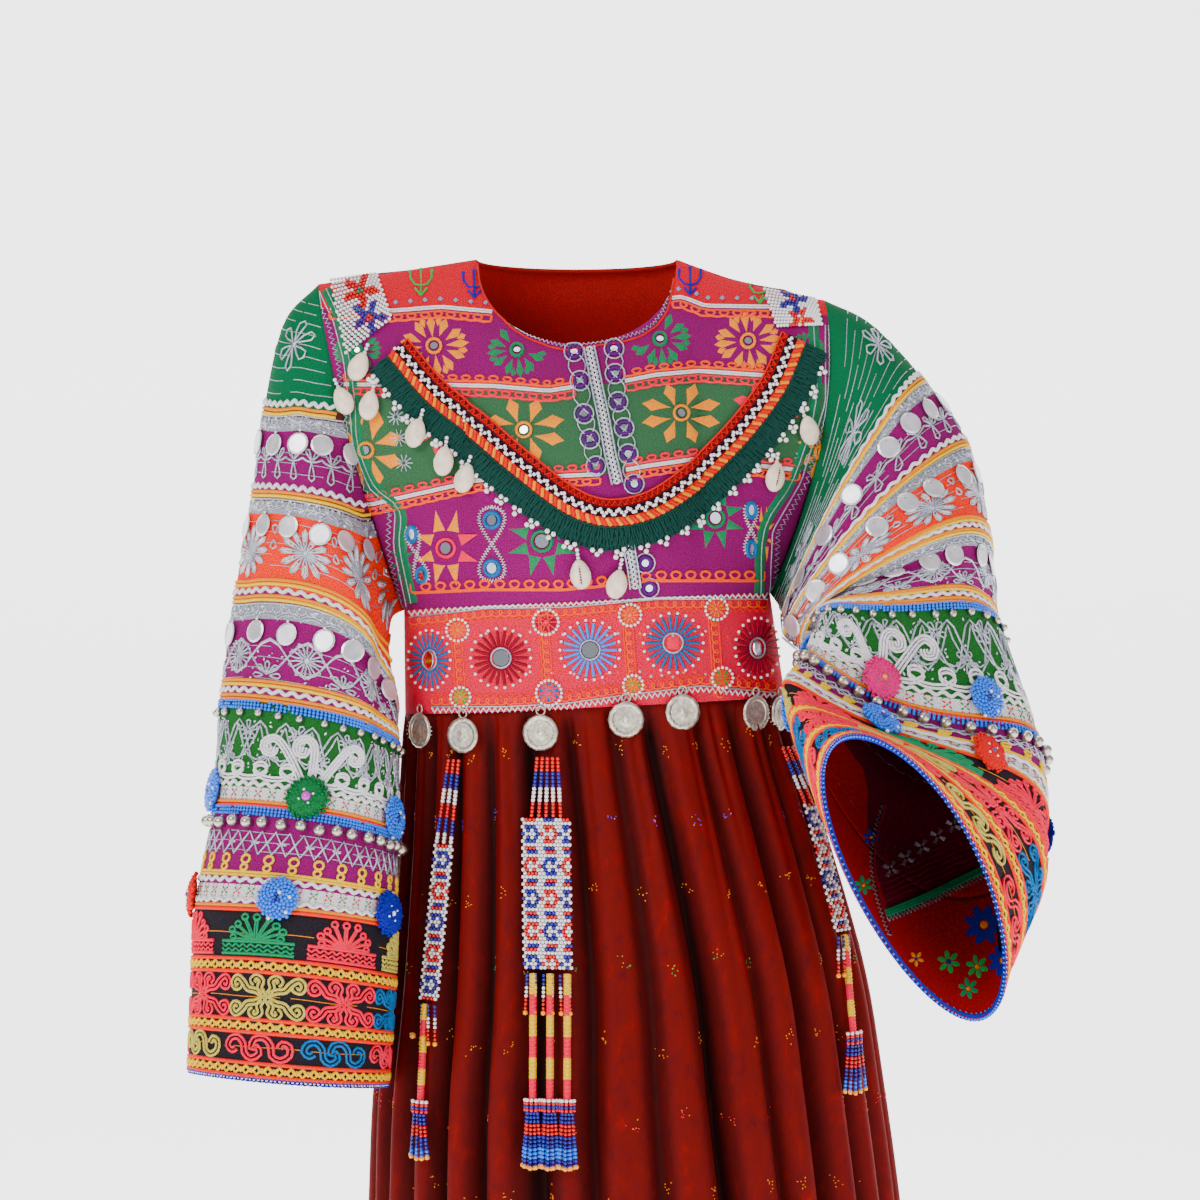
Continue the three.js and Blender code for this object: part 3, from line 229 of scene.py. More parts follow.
def ringPoint(section, across, side, power, press=0.0):
    # a point of a level section: across runs from 0 at -X to 1 at +X, side is -1 for the front
    z, centreX, halfWidth, halfDepth, rise = section
    angle = np.pi * np.clip(across, 0, 1)
    wide = np.sign(np.cos(angle)) * np.abs(np.cos(angle)) ** (2 / power)
    deep = np.abs(np.sin(angle)) ** (2 / power)
    x = centreX - (halfWidth - press) * wide
    y = side * (halfDepth - press) * deep
    return np.stack([x, y, z + rise * (x - centreX)], axis=-1)


def waistPoint(across, down, side):
    rows = np.array([waistTop, waistBottom], float)
    section = rows[0] + (rows[1] - rows[0]) * np.asarray(down, float)[..., None]
    return ringPoint([section[..., index] for index in range(5)], across, side, rounding["waist"])


# Fine gathers under the waistband: place across, width, depth and how far down each one fades
def makeGathers(count, seed):
    pick = np.random.default_rng(seed)
    at = (np.arange(count) + 0.5 + pick.uniform(-0.3, 0.3, count)) / count
    return list(zip(at, pick.uniform(0.005, 0.009, count), pick.uniform(2.5, 5.5, count),
                    pick.uniform(70, 260, count), pick.uniform(-0.02, 0.02, count)))


gathers = {-1: makeGathers(34, 3), 1: makeGathers(36, 5)}
ripples = {-1: makeGathers(22, 8), 1: makeGathers(22, 9)}


def foldPress(across, down, side):
    # how deep the valleys between the skirt's folds lie, each with a sharper crease at its bottom
    press = 0.0
    for waist, hem, width, depth in (frontFolds if side < 0 else backFolds):
        away = (across - waist - (hem - waist) * down) / (width * (1 + 0.35 * down))
        press = press + depth * (np.exp(-away * away) + 0.35 * np.exp(-(2.2 * away) ** 2))
    return press


def skirtPoint(across, z, side, fine=1.0):
    across = np.asarray(across, float)
    z = np.asarray(z, float)
    section = throughRows(-skirtSections[:, 0], skirtSections, -z)
    parts = [section[..., index] for index in range(6)]
    parts[0] = z
    down = (skirtSections[0, 0] - z) / (skirtSections[0, 0] - skirtSections[-1, 0])
    press = foldPress(across, down, side) * parts[5]
    if fine:
        fromTop = skirtSections[0, 0] - z
        start = np.clip(fromTop / 12, 0, 1)
        for at, width, depth, reach, drift in gathers[side]:
            away = (across - at - drift * down) / width
            press = press + fine * depth * start * np.exp(-away * away - (fromTop / reach) ** 2)
        for at, width, depth, reach, drift in ripples[side]:
            middle = 250 + 2.6 * reach
            away = (across - at - 2 * drift * down) / (width * 1.4)
            press = press + fine * depth * np.exp(-away * away - ((fromTop - middle) / (1.2 * reach)) ** 2)
    return ringPoint(parts[:5], across, side, rounding["skirt"], press)


def sleevePoint(table, hollows, turn, along):
    turn = np.asarray(turn, float)
    along = np.asarray(along, float)
    points = throughRows(table[:, 0], table[:, 1:], along)
    outer, front, under, back = (points[..., start:start + 3] for start in (0, 3, 6, 9))
    centre = (outer + front + under + back) / 4
    cosine = np.cos(turn)[..., None]
    point = (centre + (outer - under) / 2 * cosine + (front - back) / 2 * np.sin(turn)[..., None]
             + (outer + under - front - back) / 4 * np.cos(2 * turn)[..., None])
    inward = centre - point
    inward = inward / np.linalg.norm(inward, axis=-1, keepdims=True)
    for middle, at, turnSpread, alongSpread, depth in hollows:
        away = np.angle(np.exp(1j * (turn - math.radians(middle)))) / math.radians(turnSpread)
        rest = (along - at) / alongSpread
        pressed = depth * np.clip(along / hollowStart, 0, 1) * np.exp(-away ** 2 - rest ** 2)
        point = point + inward * pressed[..., None]
    return point


sleeveForm = {
    "right": {"table": rightSleeve, "hollows": rightHollows + rightCreases, "facing": -1, "fan": 125},
    "left": {"table": leftSleeve, "hollows": leftHollows + leftCreases, "facing": 1, "fan": 0},
}
fanEnd = 265


def alongOfBand(side, turn, band):
    # bands are woven straight across the sleeve, so near the armhole they run out into the seam
    start = sleeveForm[side]["fan"] * (1 - np.cos(turn))
    band = np.asarray(band, float)
    return np.where(band < fanEnd, (band - start) / (1 - start / fanEnd), band)


def bandOfAlong(side, turn, along):
    start = sleeveForm[side]["fan"] * (1 - np.cos(turn))
    return np.where(along < fanEnd, start + along * (1 - start / fanEnd), along)


def bodiceTop(across, side):
    share = bodiceForm["shoulderShare"]
    across = np.asarray(across, float)
    tipRight = rightSleeve[0, 1:4]
    tipLeft = leftSleeve[0, 1:4]
    neckRight = np.array([neck["centreX"] - neck["halfWidth"], neck["y"], neck["z"]])
    neckLeft = np.array([neck["centreX"] + neck["halfWidth"], neck["y"], neck["z"]])
    first = np.clip(across / share, 0, 1)[..., None]
    last = np.clip((across - 1 + share) / share, 0, 1)[..., None]
    shoulderRight = tipRight + (neckRight - tipRight) * first
    shoulderLeft = neckLeft + (tipLeft - neckLeft) * last
    shoulderLeft = shoulderLeft - np.array([0, 0, bodiceForm["sagLeft"]]) * np.sin(np.pi * last)
    angle = np.pi * np.clip((across - share) / (1 - 2 * share), 0, 1)
    drop = neck["frontDrop"] if side < 0 else neck["backDrop"]
    depth = neck["frontDepth"] if side < 0 else neck["backDepth"]
    neckline = np.stack([
        neck["centreX"] - neck["halfWidth"] * np.cos(angle),
        neck["y"] + side * depth * np.sin(angle),
        neck["z"] - drop * np.abs(np.sin(angle)) ** 0.9,
    ], axis=-1)
    across = across[..., None]
    return np.where(across <= share, shoulderRight, np.where(across >= 1 - share, shoulderLeft, neckline))


def bodicePoint(across, down, side):
    across = np.asarray(across, float)
    down = np.asarray(down, float)
    turn = np.pi * down if side < 0 else 2 * np.pi - np.pi * down
    zero = np.zeros_like(down)
    one = zero + 1
    top = bodiceTop(across, side)
    bottom = waistPoint(across, zero, side)
    share = down[..., None]
    right = sleevePoint(rightSleeve, [], turn, zero)
    left = sleevePoint(leftSleeve, [], turn, zero)
    straightRight = bodiceTop(zero, side) * (1 - share) + waistPoint(zero, zero, side) * share
    straightLeft = bodiceTop(one, side) * (1 - share) + waistPoint(one, zero, side) * share
    pull = bodiceForm["sidePull"]
    point = (top * (1 - share) + bottom * share + (right - straightRight) * (1 - across[..., None]) ** pull
             + (left - straightLeft) * across[..., None] ** pull)
    fullness = bodiceForm["chestFullness"] if side < 0 else bodiceForm["backFullness"]
    point[..., 1] += side * fullness * np.sin(np.pi * down) * np.sin(np.pi * across)
    if side > 0:
        away = (down - bodiceForm["ridgeAt"]) / bodiceForm["ridgeSpread"]
        edge = np.minimum(1, np.minimum(12 * across, 12 * (1 - across))) * np.clip(down * 30, 0, 1)
        point[..., 2] += bodiceForm["ridge"] * edge * np.exp(-away * away)
    return point


def lifted(pointAt, first, second, lift, facing):
    # points of a surface moved out along its normal
    first = np.asarray(first, float)
    second = np.asarray(second, float)
    step = 1e-3
    here = pointAt(first, second)
    acrossWay = pointAt(first + step, second) - pointAt(first - step, second)
    downWay = pointAt(first, second + step) - pointAt(first, second - step)
    normal = np.cross(acrossWay, downWay) * facing
    length = np.linalg.norm(normal, axis=-1, keepdims=True)
    normal = normal / np.where(length == 0, 1, length)
    return here + normal * np.asarray(lift, float)[..., None], normal


print("form ready")


def linear(red, green, blue, strength=1.3):
    # a colour read as 0 to 255, turned into the shader's linear values and kept strong in soft light
    values = [channel / 255 for channel in (red, green, blue)]
    values = [v / 12.92 if v <= 0.04045 else ((v + 0.055) / 1.055) ** 2.4 for v in values]
    grey = sum(values) / 3
    return tuple(max(0.001, grey + (v - grey) * strength) for v in values) + (1,)


dyes = {
    "velvetLit": (124, 8, 30), "velvetMid": (88, 5, 24), "velvetDeep": (56, 4, 18),
    "purple": (128, 38, 98), "bodiceGreen": (62, 98, 70), "sleeveGreen": (28, 94, 62),
    "orange": (238, 84, 26), "coral": (206, 54, 76), "pink": (216, 42, 88), "wave": (248, 104, 62),
    "gold": (220, 136, 0), "silver": (178, 180, 190), "yellow": (234, 184, 40), "blue": (92, 142, 222),
    "plum": (80, 26, 100), "leafGreen": (24, 112, 72), "black": (34, 30, 36), "cordPink": (232, 28, 92),
    "khaki": (186, 172, 104), "teal": (22, 100, 150), "cordGreen": (34, 124, 84),
    "woolGreen": (6, 54, 48), "edgeRed": (186, 20, 36), "edgeBlack": (46, 12, 26),
    "white": (222, 218, 222), "red": (196, 28, 32), "navy": (40, 46, 138), "lining": (150, 16, 20),
    "maroon": (120, 22, 50), "greyBlue": (120, 140, 170), "rose": (228, 70, 90),
    "magenta": (200, 30, 120), "brightGreen": (60, 150, 80), "shell": (226, 208, 192),
    "brown": (84, 46, 40), "violet": (90, 80, 190), "silverCloth": (158, 158, 168),
    "reversePurple": (84, 20, 36), "woolGreenBright": (8, 92, 52), "darkGreen": (40, 92, 44),
    "whiteCloth": (226, 222, 224),
}


def newMaterial(name, roughness=0.7, metallic=0.0, specular=0.3):
    material = bpy.data.materials.new(name)
    material.use_nodes = True
    shader = material.node_tree.nodes["Principled BSDF"]
    shader.inputs["Roughness"].default_value = roughness
    shader.inputs["Metallic"].default_value = metallic
    shader.inputs["Specular IOR Level"].default_value = specular
    return material, material.node_tree, shader


def noiseNode(tree, vector, scale, detail=2.0, roughness=0.5):
    noise = tree.nodes.new("ShaderNodeTexNoise")
    noise.inputs["Scale"].default_value = scale
    noise.inputs["Detail"].default_value = detail
    noise.inputs["Roughness"].default_value = roughness
    tree.links.new(vector, noise.inputs["Vector"])
    return noise


def rampNode(tree, factor, stops, smooth=True):
    ramp = tree.nodes.new("ShaderNodeValToRGB")
    ramp.color_ramp.interpolation = "EASE" if smooth else "CONSTANT"
    elements = ramp.color_ramp.elements
    while len(elements) < len(stops):
        elements.new(1.0)
    for element, (place, colour) in zip(elements, stops):
        element.position = place
        element.color = colour
    tree.links.new(factor, ramp.inputs["Fac"])
    return ramp


def multiply(tree, first, second):
    # the colours of two ramps multiplied
    mix = tree.nodes.new("ShaderNodeMix")
    mix.data_type = "RGBA"
    mix.blend_type = "MULTIPLY"
    mix.inputs["Factor"].default_value = 1
    tree.links.new(first.outputs["Color"], mix.inputs[6])
    tree.links.new(second.outputs["Color"], mix.inputs[7])
    return mix.outputs[2]


def bumpFrom(tree, shader, height, strength, distance):
    bump = tree.nodes.new("ShaderNodeBump")
    bump.inputs["Strength"].default_value = strength
    bump.inputs["Distance"].default_value = distance
    tree.links.new(height, bump.inputs["Height"])
    tree.links.new(bump.outputs["Normal"], shader.inputs["Normal"])


def coordinateNode(tree, output="Object", stretch=(1, 1, 1), uvName=None):
    if uvName:
        source = tree.nodes.new("ShaderNodeUVMap")
        source.uv_map = uvName
        vector = source.outputs["UV"]
    else:
        vector = tree.nodes.new("ShaderNodeTexCoord").outputs[output]
    mapping = tree.nodes.new("ShaderNodeMapping")
    mapping.inputs["Scale"].default_value = stretch
    tree.links.new(vector, mapping.inputs["Vector"])
    return mapping.outputs["Vector"]


def velvetMaterial(name, lit, middle, deep):
    # soft pile: patches of brighter and darker nap, deep shade in the folds and a red sheen
    material, tree, shader = newMaterial(name, roughness=0.7, specular=0.1)
    place = coordinateNode(tree, stretch=(1, 1, 0.55))
    crush = noiseNode(tree, place, 85, detail=6, roughness=0.7)
    crush.inputs["Distortion"].default_value = 0.3
    ramp = rampNode(tree, crush.outputs["Fac"], [(0.15, linear(*dyes[deep])), (0.5, linear(*dyes[middle])),
                                                (0.85, linear(*dyes[lit]))])
    # painted shade: a point attribute darkens the base colour in the valleys between the skirt's folds
    fold = tree.nodes.new("ShaderNodeAttribute")
    fold.attribute_name = "fold"
    shade = rampNode(tree, fold.outputs["Fac"], [(0.0, grey(1)), (0.35, grey(0.55)), (1.0, grey(0.1))])
    tree.links.new(multiply(tree, ramp, shade), shader.inputs["Base Color"])
    bumpFrom(tree, shader, crush.outputs["Fac"], 0.25, 0.0015)
    shader.inputs["Sheen Weight"].default_value = 0.16
    shader.inputs["Sheen Roughness"].default_value = 0.3
    shader.inputs["Sheen Tint"].default_value = linear(255, 70, 74)
    return material


def bandMaterial(name, bands, total, grain=900, uvName="cloth", fade=0.16):
    # woven or stitched bands: colours change with the cloth's own length coordinate
    material, tree, shader = newMaterial(name, roughness=0.85, specular=0.12)
    place = coordinateNode(tree, uvName=uvName)
    split = tree.nodes.new("ShaderNodeSeparateXYZ")
    tree.links.new(place, split.inputs["Vector"])
    scaled = tree.nodes.new("ShaderNodeMath")
    scaled.operation = "DIVIDE"
    scaled.inputs[1].default_value = total * mm
    tree.links.new(split.outputs["Y"], scaled.inputs[0])
    stops = [(start / total, linear(*dyes[dye])) for start, dye in bands]
    ramp = rampNode(tree, scaled.outputs["Value"], stops, smooth=False)
    weave = noiseNode(tree, place, grain, detail=2)
    tone = rampNode(tree, weave.outputs["Fac"], [(0.3, grey(1 - 2.2 * fade)), (0.7, grey(1 + 0.6 * fade))])
    tree.links.new(multiply(tree, ramp, tone), shader.inputs["Base Color"])
    bumpFrom(tree, shader, weave.outputs["Fac"], 0.5, 0.0012)
    return material


def plainMaterial(name, dye, roughness=0.6, metallic=0.0, grain=0, specular=0.3, vary=0.25):
    material, tree, shader = newMaterial(name, roughness, metallic, specular)
    colour = linear(*(dyes[dye] if isinstance(dye, str) else dye))
    if grain:
        place = coordinateNode(tree)
        noise = noiseNode(tree, place, grain, detail=2)
        darker = tuple(value * (1 - vary) for value in colour[:3]) + (1,)
        brighter = tuple(min(1, value * (1 + vary)) for value in colour[:3]) + (1,)
        ramp = rampNode(tree, noise.outputs["Fac"], [(0.3, darker), (0.7, brighter)])
        tree.links.new(ramp.outputs["Color"], shader.inputs["Base Color"])
        bumpFrom(tree, shader, noise.outputs["Fac"], 0.4, 0.0006)
    else:
        shader.inputs["Base Color"].default_value = colour
    return material


clothWall = 1.3


def flatGrid(name, columns, rows):
    # a flat grid, and the share across and down it of each of its points
    bm = bmesh.new()
    bmesh.ops.create_grid(bm, x_segments=columns, y_segments=rows, size=0.5)
    mesh = bpy.data.meshes.new(name)
    bm.to_mesh(mesh)
    bm.free()
    flat = np.empty(len(mesh.vertices) * 3)
    mesh.vertices.foreach_get("co", flat)
    flat = flat.reshape(-1, 3)
    return mesh, flat[:, 0] + 0.5, 0.5 - flat[:, 1]


def addLayer(mesh, name, columns):
    # cloth coordinates in mm, kept as a UV layer in metres
    corners = np.empty(len(mesh.loops), dtype=np.int32)
    mesh.loops.foreach_get("vertex_index", corners)
    layer = mesh.uv_layers.new(name=name)
    layer.data.foreach_set("uv", (np.stack(columns, axis=-1)[corners] * mm).ravel())


def gridPiece(name, columns, rows, place, flatPlace, materials, outwardFrom, weld=False, shade=None,
              linedPlace=None):
    # a cloth sheet: a grid whose points are moved onto the form, with its own cloth coordinates
    mesh, acrossShare, downShare = flatGrid(name, columns, rows)
    mesh.vertices.foreach_set("co", (place(acrossShare, downShare) * mm).ravel())
    addLayer(mesh, "cloth", flatPlace(acrossShare, downShare))
    if linedPlace:
        addLayer(mesh, "lining", linedPlace(acrossShare, downShare))
    # painted shade of the fold valleys, kept on the points for the velvet to darken its colour
    if shade:
        fold = mesh.attributes.new("fold", "FLOAT", "POINT")
        fold.data.foreach_set("value", shade(acrossShare, downShare))
    if weld:
        bm = bmesh.new()
        bm.from_mesh(mesh)
        bmesh.ops.remove_doubles(bm, verts=bm.verts, dist=1e-5)
        bmesh.ops.recalc_face_normals(bm, faces=bm.faces)
        bm.to_mesh(mesh)
        bm.free()
    mesh.update()
    lean = 0
    middle = [point * mm for point in outwardFrom]
    for face in list(mesh.polygons)[::37]:
        reference = min(middle, key=lambda spot: (Vector(spot) - face.center).length)
        lean += face.normal.dot((face.center - Vector(reference)).normalized())
    if lean < 0:
        mesh.flip_normals()
    mesh.polygons.foreach_set("use_smooth", [True] * len(mesh.polygons))
    for material in materials:
        mesh.materials.append(material)
    piece = addObject(name, mesh)
    wall = piece.modifiers.new("clothThickness", "SOLIDIFY")
    wall.thickness = clothWall * mm
    wall.offset = -1
    if len(materials) > 1:
        wall.material_offset = 1
    area = sum(face.area for face in mesh.polygons)
    print("cloth", name, "area", round(area, 4), "faces", len(mesh.polygons))
    return piece


def finishPiece(piece, node=None):
    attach(piece, "root")
    for replaced in ([node] if isinstance(node, str) else node or []):
        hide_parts(replaced)
    return piece


# Bodice: embroidered front and plain velvet back
bodice = {"frontColumns": 100, "backColumns": 72, "rows": 66, "frontFlat": (0.5, 0.31),
          "backFlat": (0.5, 0.33),
          "bandLength": 330, "backAcross": 500, "backDown": 320}
velvet = velvetMaterial("crushedVelvet", "velvetLit", "velvetMid", "velvetDeep")
reverse = plainMaterial("clothReverse", "lining", roughness=0.85, grain=700)
camera = np.array(studio["cameraPlace"]) / mm
pixelScale = 0.87
planeAway = 3200
viewMiddle = 600


def pixelOf(points):
    # where a point of the dress falls in the front view, in the view's own steps of 1/1200 of its width
    away = planeAway / (points[..., 1] + planeAway)
    return np.stack([viewMiddle + (points[..., 0] - camera[0]) * away / pixelScale,
                     viewMiddle - (points[..., 2] - camera[2]) * away / pixelScale], axis=-1)


def sharesAt(pointAt, target, guess, rounds=9, view=pixelOf):
    # the two shares of a surface that fall on wanted places of the front view
    shares = np.array(guess, float)
    step = 1e-4
    for _ in range(rounds):
        here = view(pointAt(shares[..., 0], shares[..., 1]))
        first = (view(pointAt(shares[..., 0] + step, shares[..., 1])) - here) / step
        second = (view(pointAt(shares[..., 0], shares[..., 1] + step)) - here) / step
        away = target - here
        area = first[..., 0] * second[..., 1] - first[..., 1] * second[..., 0]
        area = np.where(np.abs(area) < 1e-3, 1e-3, area)
        moveFirst = (away[..., 0] * second[..., 1] - away[..., 1] * second[..., 0]) / area
        moveSecond = (first[..., 0] * away[..., 1] - first[..., 1] * away[..., 0]) / area
        shares[..., 0] = np.clip(shares[..., 0] + np.clip(moveFirst, -0.15, 0.15), 0.001, 0.999)
        shares[..., 1] = np.clip(shares[..., 1] + np.clip(moveSecond, -0.15, 0.15), 0.0, 1.0)
    return shares


def viewPlacer(pointAt, low, span, edge, view=pixelOf):
    # lays places of a view onto a surface, with the outward direction there; the guess keeps off the edges
    def at(spots, lift=0.0):
        guess = np.clip((np.asarray(spots, float) - low) / span, edge, 1 - np.asarray(edge))
        shares = sharesAt(pointAt, np.asarray(spots, float), guess, view=view)
        return lifted(pointAt, shares[..., 0], shares[..., 1], lift, -1)
    return at


def bodiceFront(across, down):
    return bodicePoint(across, down, -1)


def bodiceBack(across, down):
    return bodicePoint(across, down, 1)


# Lines of the bodice bands, as places of the front view: each one runs from the right sleeve to the left
bodiceLines = [
    [(318, 268), (400, 262), (493, 262), (590, 258), (660, 258), (698, 262), (822, 270)],
    [(318, 308), (391, 311), (441, 307), (493, 312), (590, 308), (682, 297), (705, 306), (773, 307),
     (830, 316)],
    [(318, 384), (446, 385), (493, 386), (548, 391), (587, 385), (626, 381), (655, 375), (698, 371),
     (760, 375), (830, 384)],
    [(340, 512), (390, 500), (480, 480), (603, 474), (646, 466), (695, 459), (800, 470)],
    [(400, 598), (487, 594), (564, 594), (656, 585), (780, 585)],
]
bodiceSteps = (0, 45, 115, 215, 320)


def bodiceBand(spots):
    # distance down the bodice in band steps, so that the bands follow their own lines
    x = spots[..., 0]
    y = spots[..., 1]
    heights = [np.interp(x, [spot[0] for spot in line], [spot[1] for spot in line]) for line in bodiceLines]
    band = np.zeros_like(x)
    for index in range(4):
        share = (y - heights[index]) / (heights[index + 1] - heights[index])
        inside = (share >= 0) if index else np.ones_like(share, bool)
        low, high = bodiceSteps[index:index + 2]
        band = np.where(inside, low + share * (high - low), band)
    return band


def bodiceCloth(across, down):
    spots = pixelOf(bodiceFront(across, down))
    return spots[..., 0] * pixelScale, bodiceBand(spots)


frontBands = [(0, "coral"), (45, "purple"), (115, "bodiceGreen"), (215, "purple")]
frontCloth = bandMaterial("embroideredYoke", frontBands, bodice["bandLength"], grain=1100, fade=0.25)
spine = [np.array([x, 0, z]) for x in (-100, 0, 100) for z in (-60, -200, -330)]
piece = gridPiece("bodiceFrontCloth", bodice["frontColumns"], bodice["rows"], bodiceFront, bodiceCloth,
                  [frontCloth, reverse], spine)
finishPiece(piece, "bodice_front")
piece = gridPiece("bodiceBackCloth", bodice["backColumns"], bodice["rows"], bodiceBack,
                  lambda across, down: (across * bodice["backAcross"], down * bodice["backDown"]),
                  [velvet, reverse], spine)
finishPiece(piece, "bodice_back")

# Waistband: embroidered in front, velvet behind
waistband = {"columns": 80, "rows": 14, "flat": (0.42, 0.095), "across": 420, "down": 95}
waistCloth = bandMaterial("waistbandCloth", [(0, "pink")], waistband["down"], grain=1100, fade=0.25)


def waistFront(across, down):
    return waistPoint(across, down, -1)


def waistBack(across, down):
    return waistPoint(across, down, 1)


def waistCoordinates(across, down):
    return across * waistband["across"], down * waistband["down"]


piece = gridPiece("waistbandFrontCloth", waistband["columns"], waistband["rows"], waistFront,
                  waistCoordinates, [waistCloth, reverse], spine)
finishPiece(piece, "waistband_front")
piece = gridPiece("waistbandBackCloth", waistband["columns"], waistband["rows"], waistBack,
                  waistCoordinates, [velvet, reverse], spine)
finishPiece(piece, "waistband_back")

# Skirt: two gathered panels of velvet
skirt = {"columns": 270, "rows": 50, "top": -373.3, "hem": -1255, "flat": (0.9, 0.89), "rowPower": 1.25,
         "clothAcross": 1050, "clothDown": 890}
deepestFold = 26
for label, side in (("Front", -1), ("Back", 1)):
    def skirtPlace(across, down, side=side):
        z = skirt["top"] + (skirt["hem"] - skirt["top"]) * down ** skirt["rowPower"]
        return skirtPoint(across, z, side)

    # painted shade: how dark each fold valley is painted, weaker just under the waist and on the right half
    # of the front
    def skirtShade(across, down, side=side):
        start = np.clip(down * 14, 0.3, 1) * (1 - 0.5 * np.clip((across - 0.55) * 8, 0, 1) * (side < 0))
        return np.clip(foldPress(across, down ** skirt["rowPower"], side) / deepestFold * start, 0, 1)

    piece = gridPiece("skirt" + label + "Cloth", skirt["columns"], skirt["rows"], skirtPlace,
                      lambda across, down: (across * skirt["clothAcross"], down * skirt["clothDown"]),
                      [velvet, reverse],
                      [np.array([30, 0, z]) for z in (-500, -800, -1100)], shade=skirtShade)
    finishPiece(piece, "skirt_" + label.lower())

# Sleeves: wide bands above, black couched cloth below; the band table gives where each colour starts, in mm
sleeve = {"columns": 96, "rows": 100, "cuffRows": 32, "radius": 80, "hem": 694, "flatWidth": 0.52,
          "bandLength": 700, "liningStart": 604}
rightBands = [
    (0, "sleeveGreen"), (109, "brown"), (116, "silverCloth"), (128, "purple"), (180, "brown"),
    (186, "silverCloth"),
    (199, "orange"), (263, "purple"), (278, "silverCloth"), (292, "purple"), (357, "darkGreen"),
    (437, "whiteCloth"), (450, "purple"), (520, "whiteCloth"), (535, "purple"), (541, "black"),
]
sleeveCloth = bandMaterial("bandedSleeve", rightBands, sleeve["bandLength"], grain=900, fade=0.22)
cuffCloth = bandMaterial("couchedCuff", [(0, "black")], sleeve["bandLength"], grain=900, fade=0.3)
sleeveLining = bandMaterial("sleeveLining", [(0, "reversePurple"), (sleeve["liningStart"], "lining")],
                            sleeve["bandLength"], grain=500, fade=0.2, uvName="lining")
# The printed lining's upper edge on the left sleeve, by distance round it: it steps at the vertical seam
liningEdge = np.array([(0, 604), (270, 590), (290, 470), (335, 470), (336, 612), (352, 586), (378, 548),
                       (414, 521), (440, 520), (480, 570), (503, 604)], float)


def sleeveSurface(side):
    form = sleeveForm[side]

    def at(turn, along):
        return sleevePoint(form["table"], form["hollows"], turn, along)
    return at


def onSleeve(side, roundPlace, band, lift=0.0):
    # cloth coordinates of a sleeve in mm: round from the outer fold to the front, band down the sleeve
    turn = np.asarray(roundPlace, float) / sleeve["radius"]
    along = alongOfBand(side, turn, band)
    form = sleeveForm[side]
    here = sleevePoint(form["table"], form["hollows"], turn, along)
    step = 1e-3
    wayRound = sleevePoint(form["table"], form["hollows"], turn + step, along) - here
    wayDown = sleevePoint(form["table"], form["hollows"], turn, along + 0.1) - here
    normal = np.cross(wayRound, wayDown) * form["facing"] * sleeveTurn[side]
    normal = normal / np.linalg.norm(normal, axis=-1, keepdims=True)
    return here + normal * np.broadcast_to(np.asarray(lift, float), normal.shape[:-1])[..., None], normal


# 1 or -1, so that each sleeve's normals point outward; tested on the ring at this length of sleeve
testBand = 450.0
sleeveTurn = {"right": 1, "left": 1}
for side in ("right", "left"):
    form = sleeveForm[side]
    spot, normal = onSleeve(side, np.array([0.0, 120, 250, 380]), np.full(4, testBand))
    ring = throughRows(form["table"][:, 0], form["table"][:, 1:], np.array([testBand]))[0]
    if np.sum((spot - ring.reshape(4, 3).mean(axis=0)) * normal) < 0:
        sleeveTurn[side] = -1
    at = sleeveSurface(side)
    middles = [np.array(row[1:]).reshape(4, 3).mean(axis=0) for row in form["table"]]
    for label, start, end, rows, slot, cloths, node in (
            ("Upper", 0, cuffStart, sleeve["rows"], "banded_cloth", [sleeveCloth, sleeveLining], "sleeve_"),
            ("Cuff", cuffStart, sleeve["hem"], sleeve["cuffRows"], "couched_cloth", [cuffCloth, sleeveLining],
             "cuff_")):
        def sleevePlace(across, down, at=at, start=start, end=end):
            return at(across * 2 * np.pi, start + (end - start) * down)

        def sleeveFlat(across, down, side=side, start=start, end=end):
            turn = across * 2 * np.pi
            along = start + (end - start) * down
            return turn * sleeve["radius"], bandOfAlong(side, turn, along)

        def sleeveLined(across, down, side=side, flat=sleeveFlat):
            roundPlace, along = flat(across, down)
            start = sleeve["liningStart"]
            edge = np.interp(roundPlace, liningEdge[:, 0], liningEdge[:, 1]) if side == "left" else start
            return roundPlace, along - edge + start

        piece = gridPiece(side + "Sleeve" + label, sleeve["columns"], rows, sleevePlace, sleeveFlat, cloths,
                          middles, weld=True, linedPlace=sleeveLined)
        finishPiece(piece, node + side)
print("cloth ready")


# Small shapes that stitches, beads and discs are made of, each one unit wide
shapes = {}


def makeShape(name, build):
    bm = bmesh.new()
    build(bm)
    bmesh.ops.remove_doubles(bm, verts=bm.verts, dist=1e-4)
    bmesh.ops.triangulate(bm, faces=bm.faces)
    bmesh.ops.recalc_face_normals(bm, faces=bm.faces)
    bm.verts.ensure_lookup_table()
    bm.verts.index_update()
    points = np.array([vert.co[:] for vert in bm.verts])
    faces = np.array([[vert.index for vert in face.verts] for face in bm.faces])
    bm.free()
    shapes[name] = (points, faces)


def buildMound(sides):
    # a low mound of stitches, its rim on the cloth
    def build(bm):
        bmesh.ops.create_cone(bm, cap_ends=False, segments=sides, radius1=1, radius2=0.55, depth=0.8)
        bmesh.ops.translate(bm, verts=bm.verts, vec=(0, 0, 0.4))
        top = [vert for vert in bm.verts if vert.co.z > 0.6]
        bmesh.ops.contextual_create(bm, geom=top)
    return build


def buildDrum(sides, taper):
    def build(bm):
        bmesh.ops.create_cone(bm, cap_ends=True, segments=sides, radius1=1, radius2=taper, depth=1)
        bmesh.ops.translate(bm, verts=bm.verts, vec=(0, 0, 0.5))
    return build


def buildBall(around, rows):
    def build(bm):
        bmesh.ops.create_uvsphere(bm, u_segments=around, v_segments=rows, radius=1)
    return build


def buildSeed(bm):
    bmesh.ops.create_icosphere(bm, subdivisions=1, radius=1)


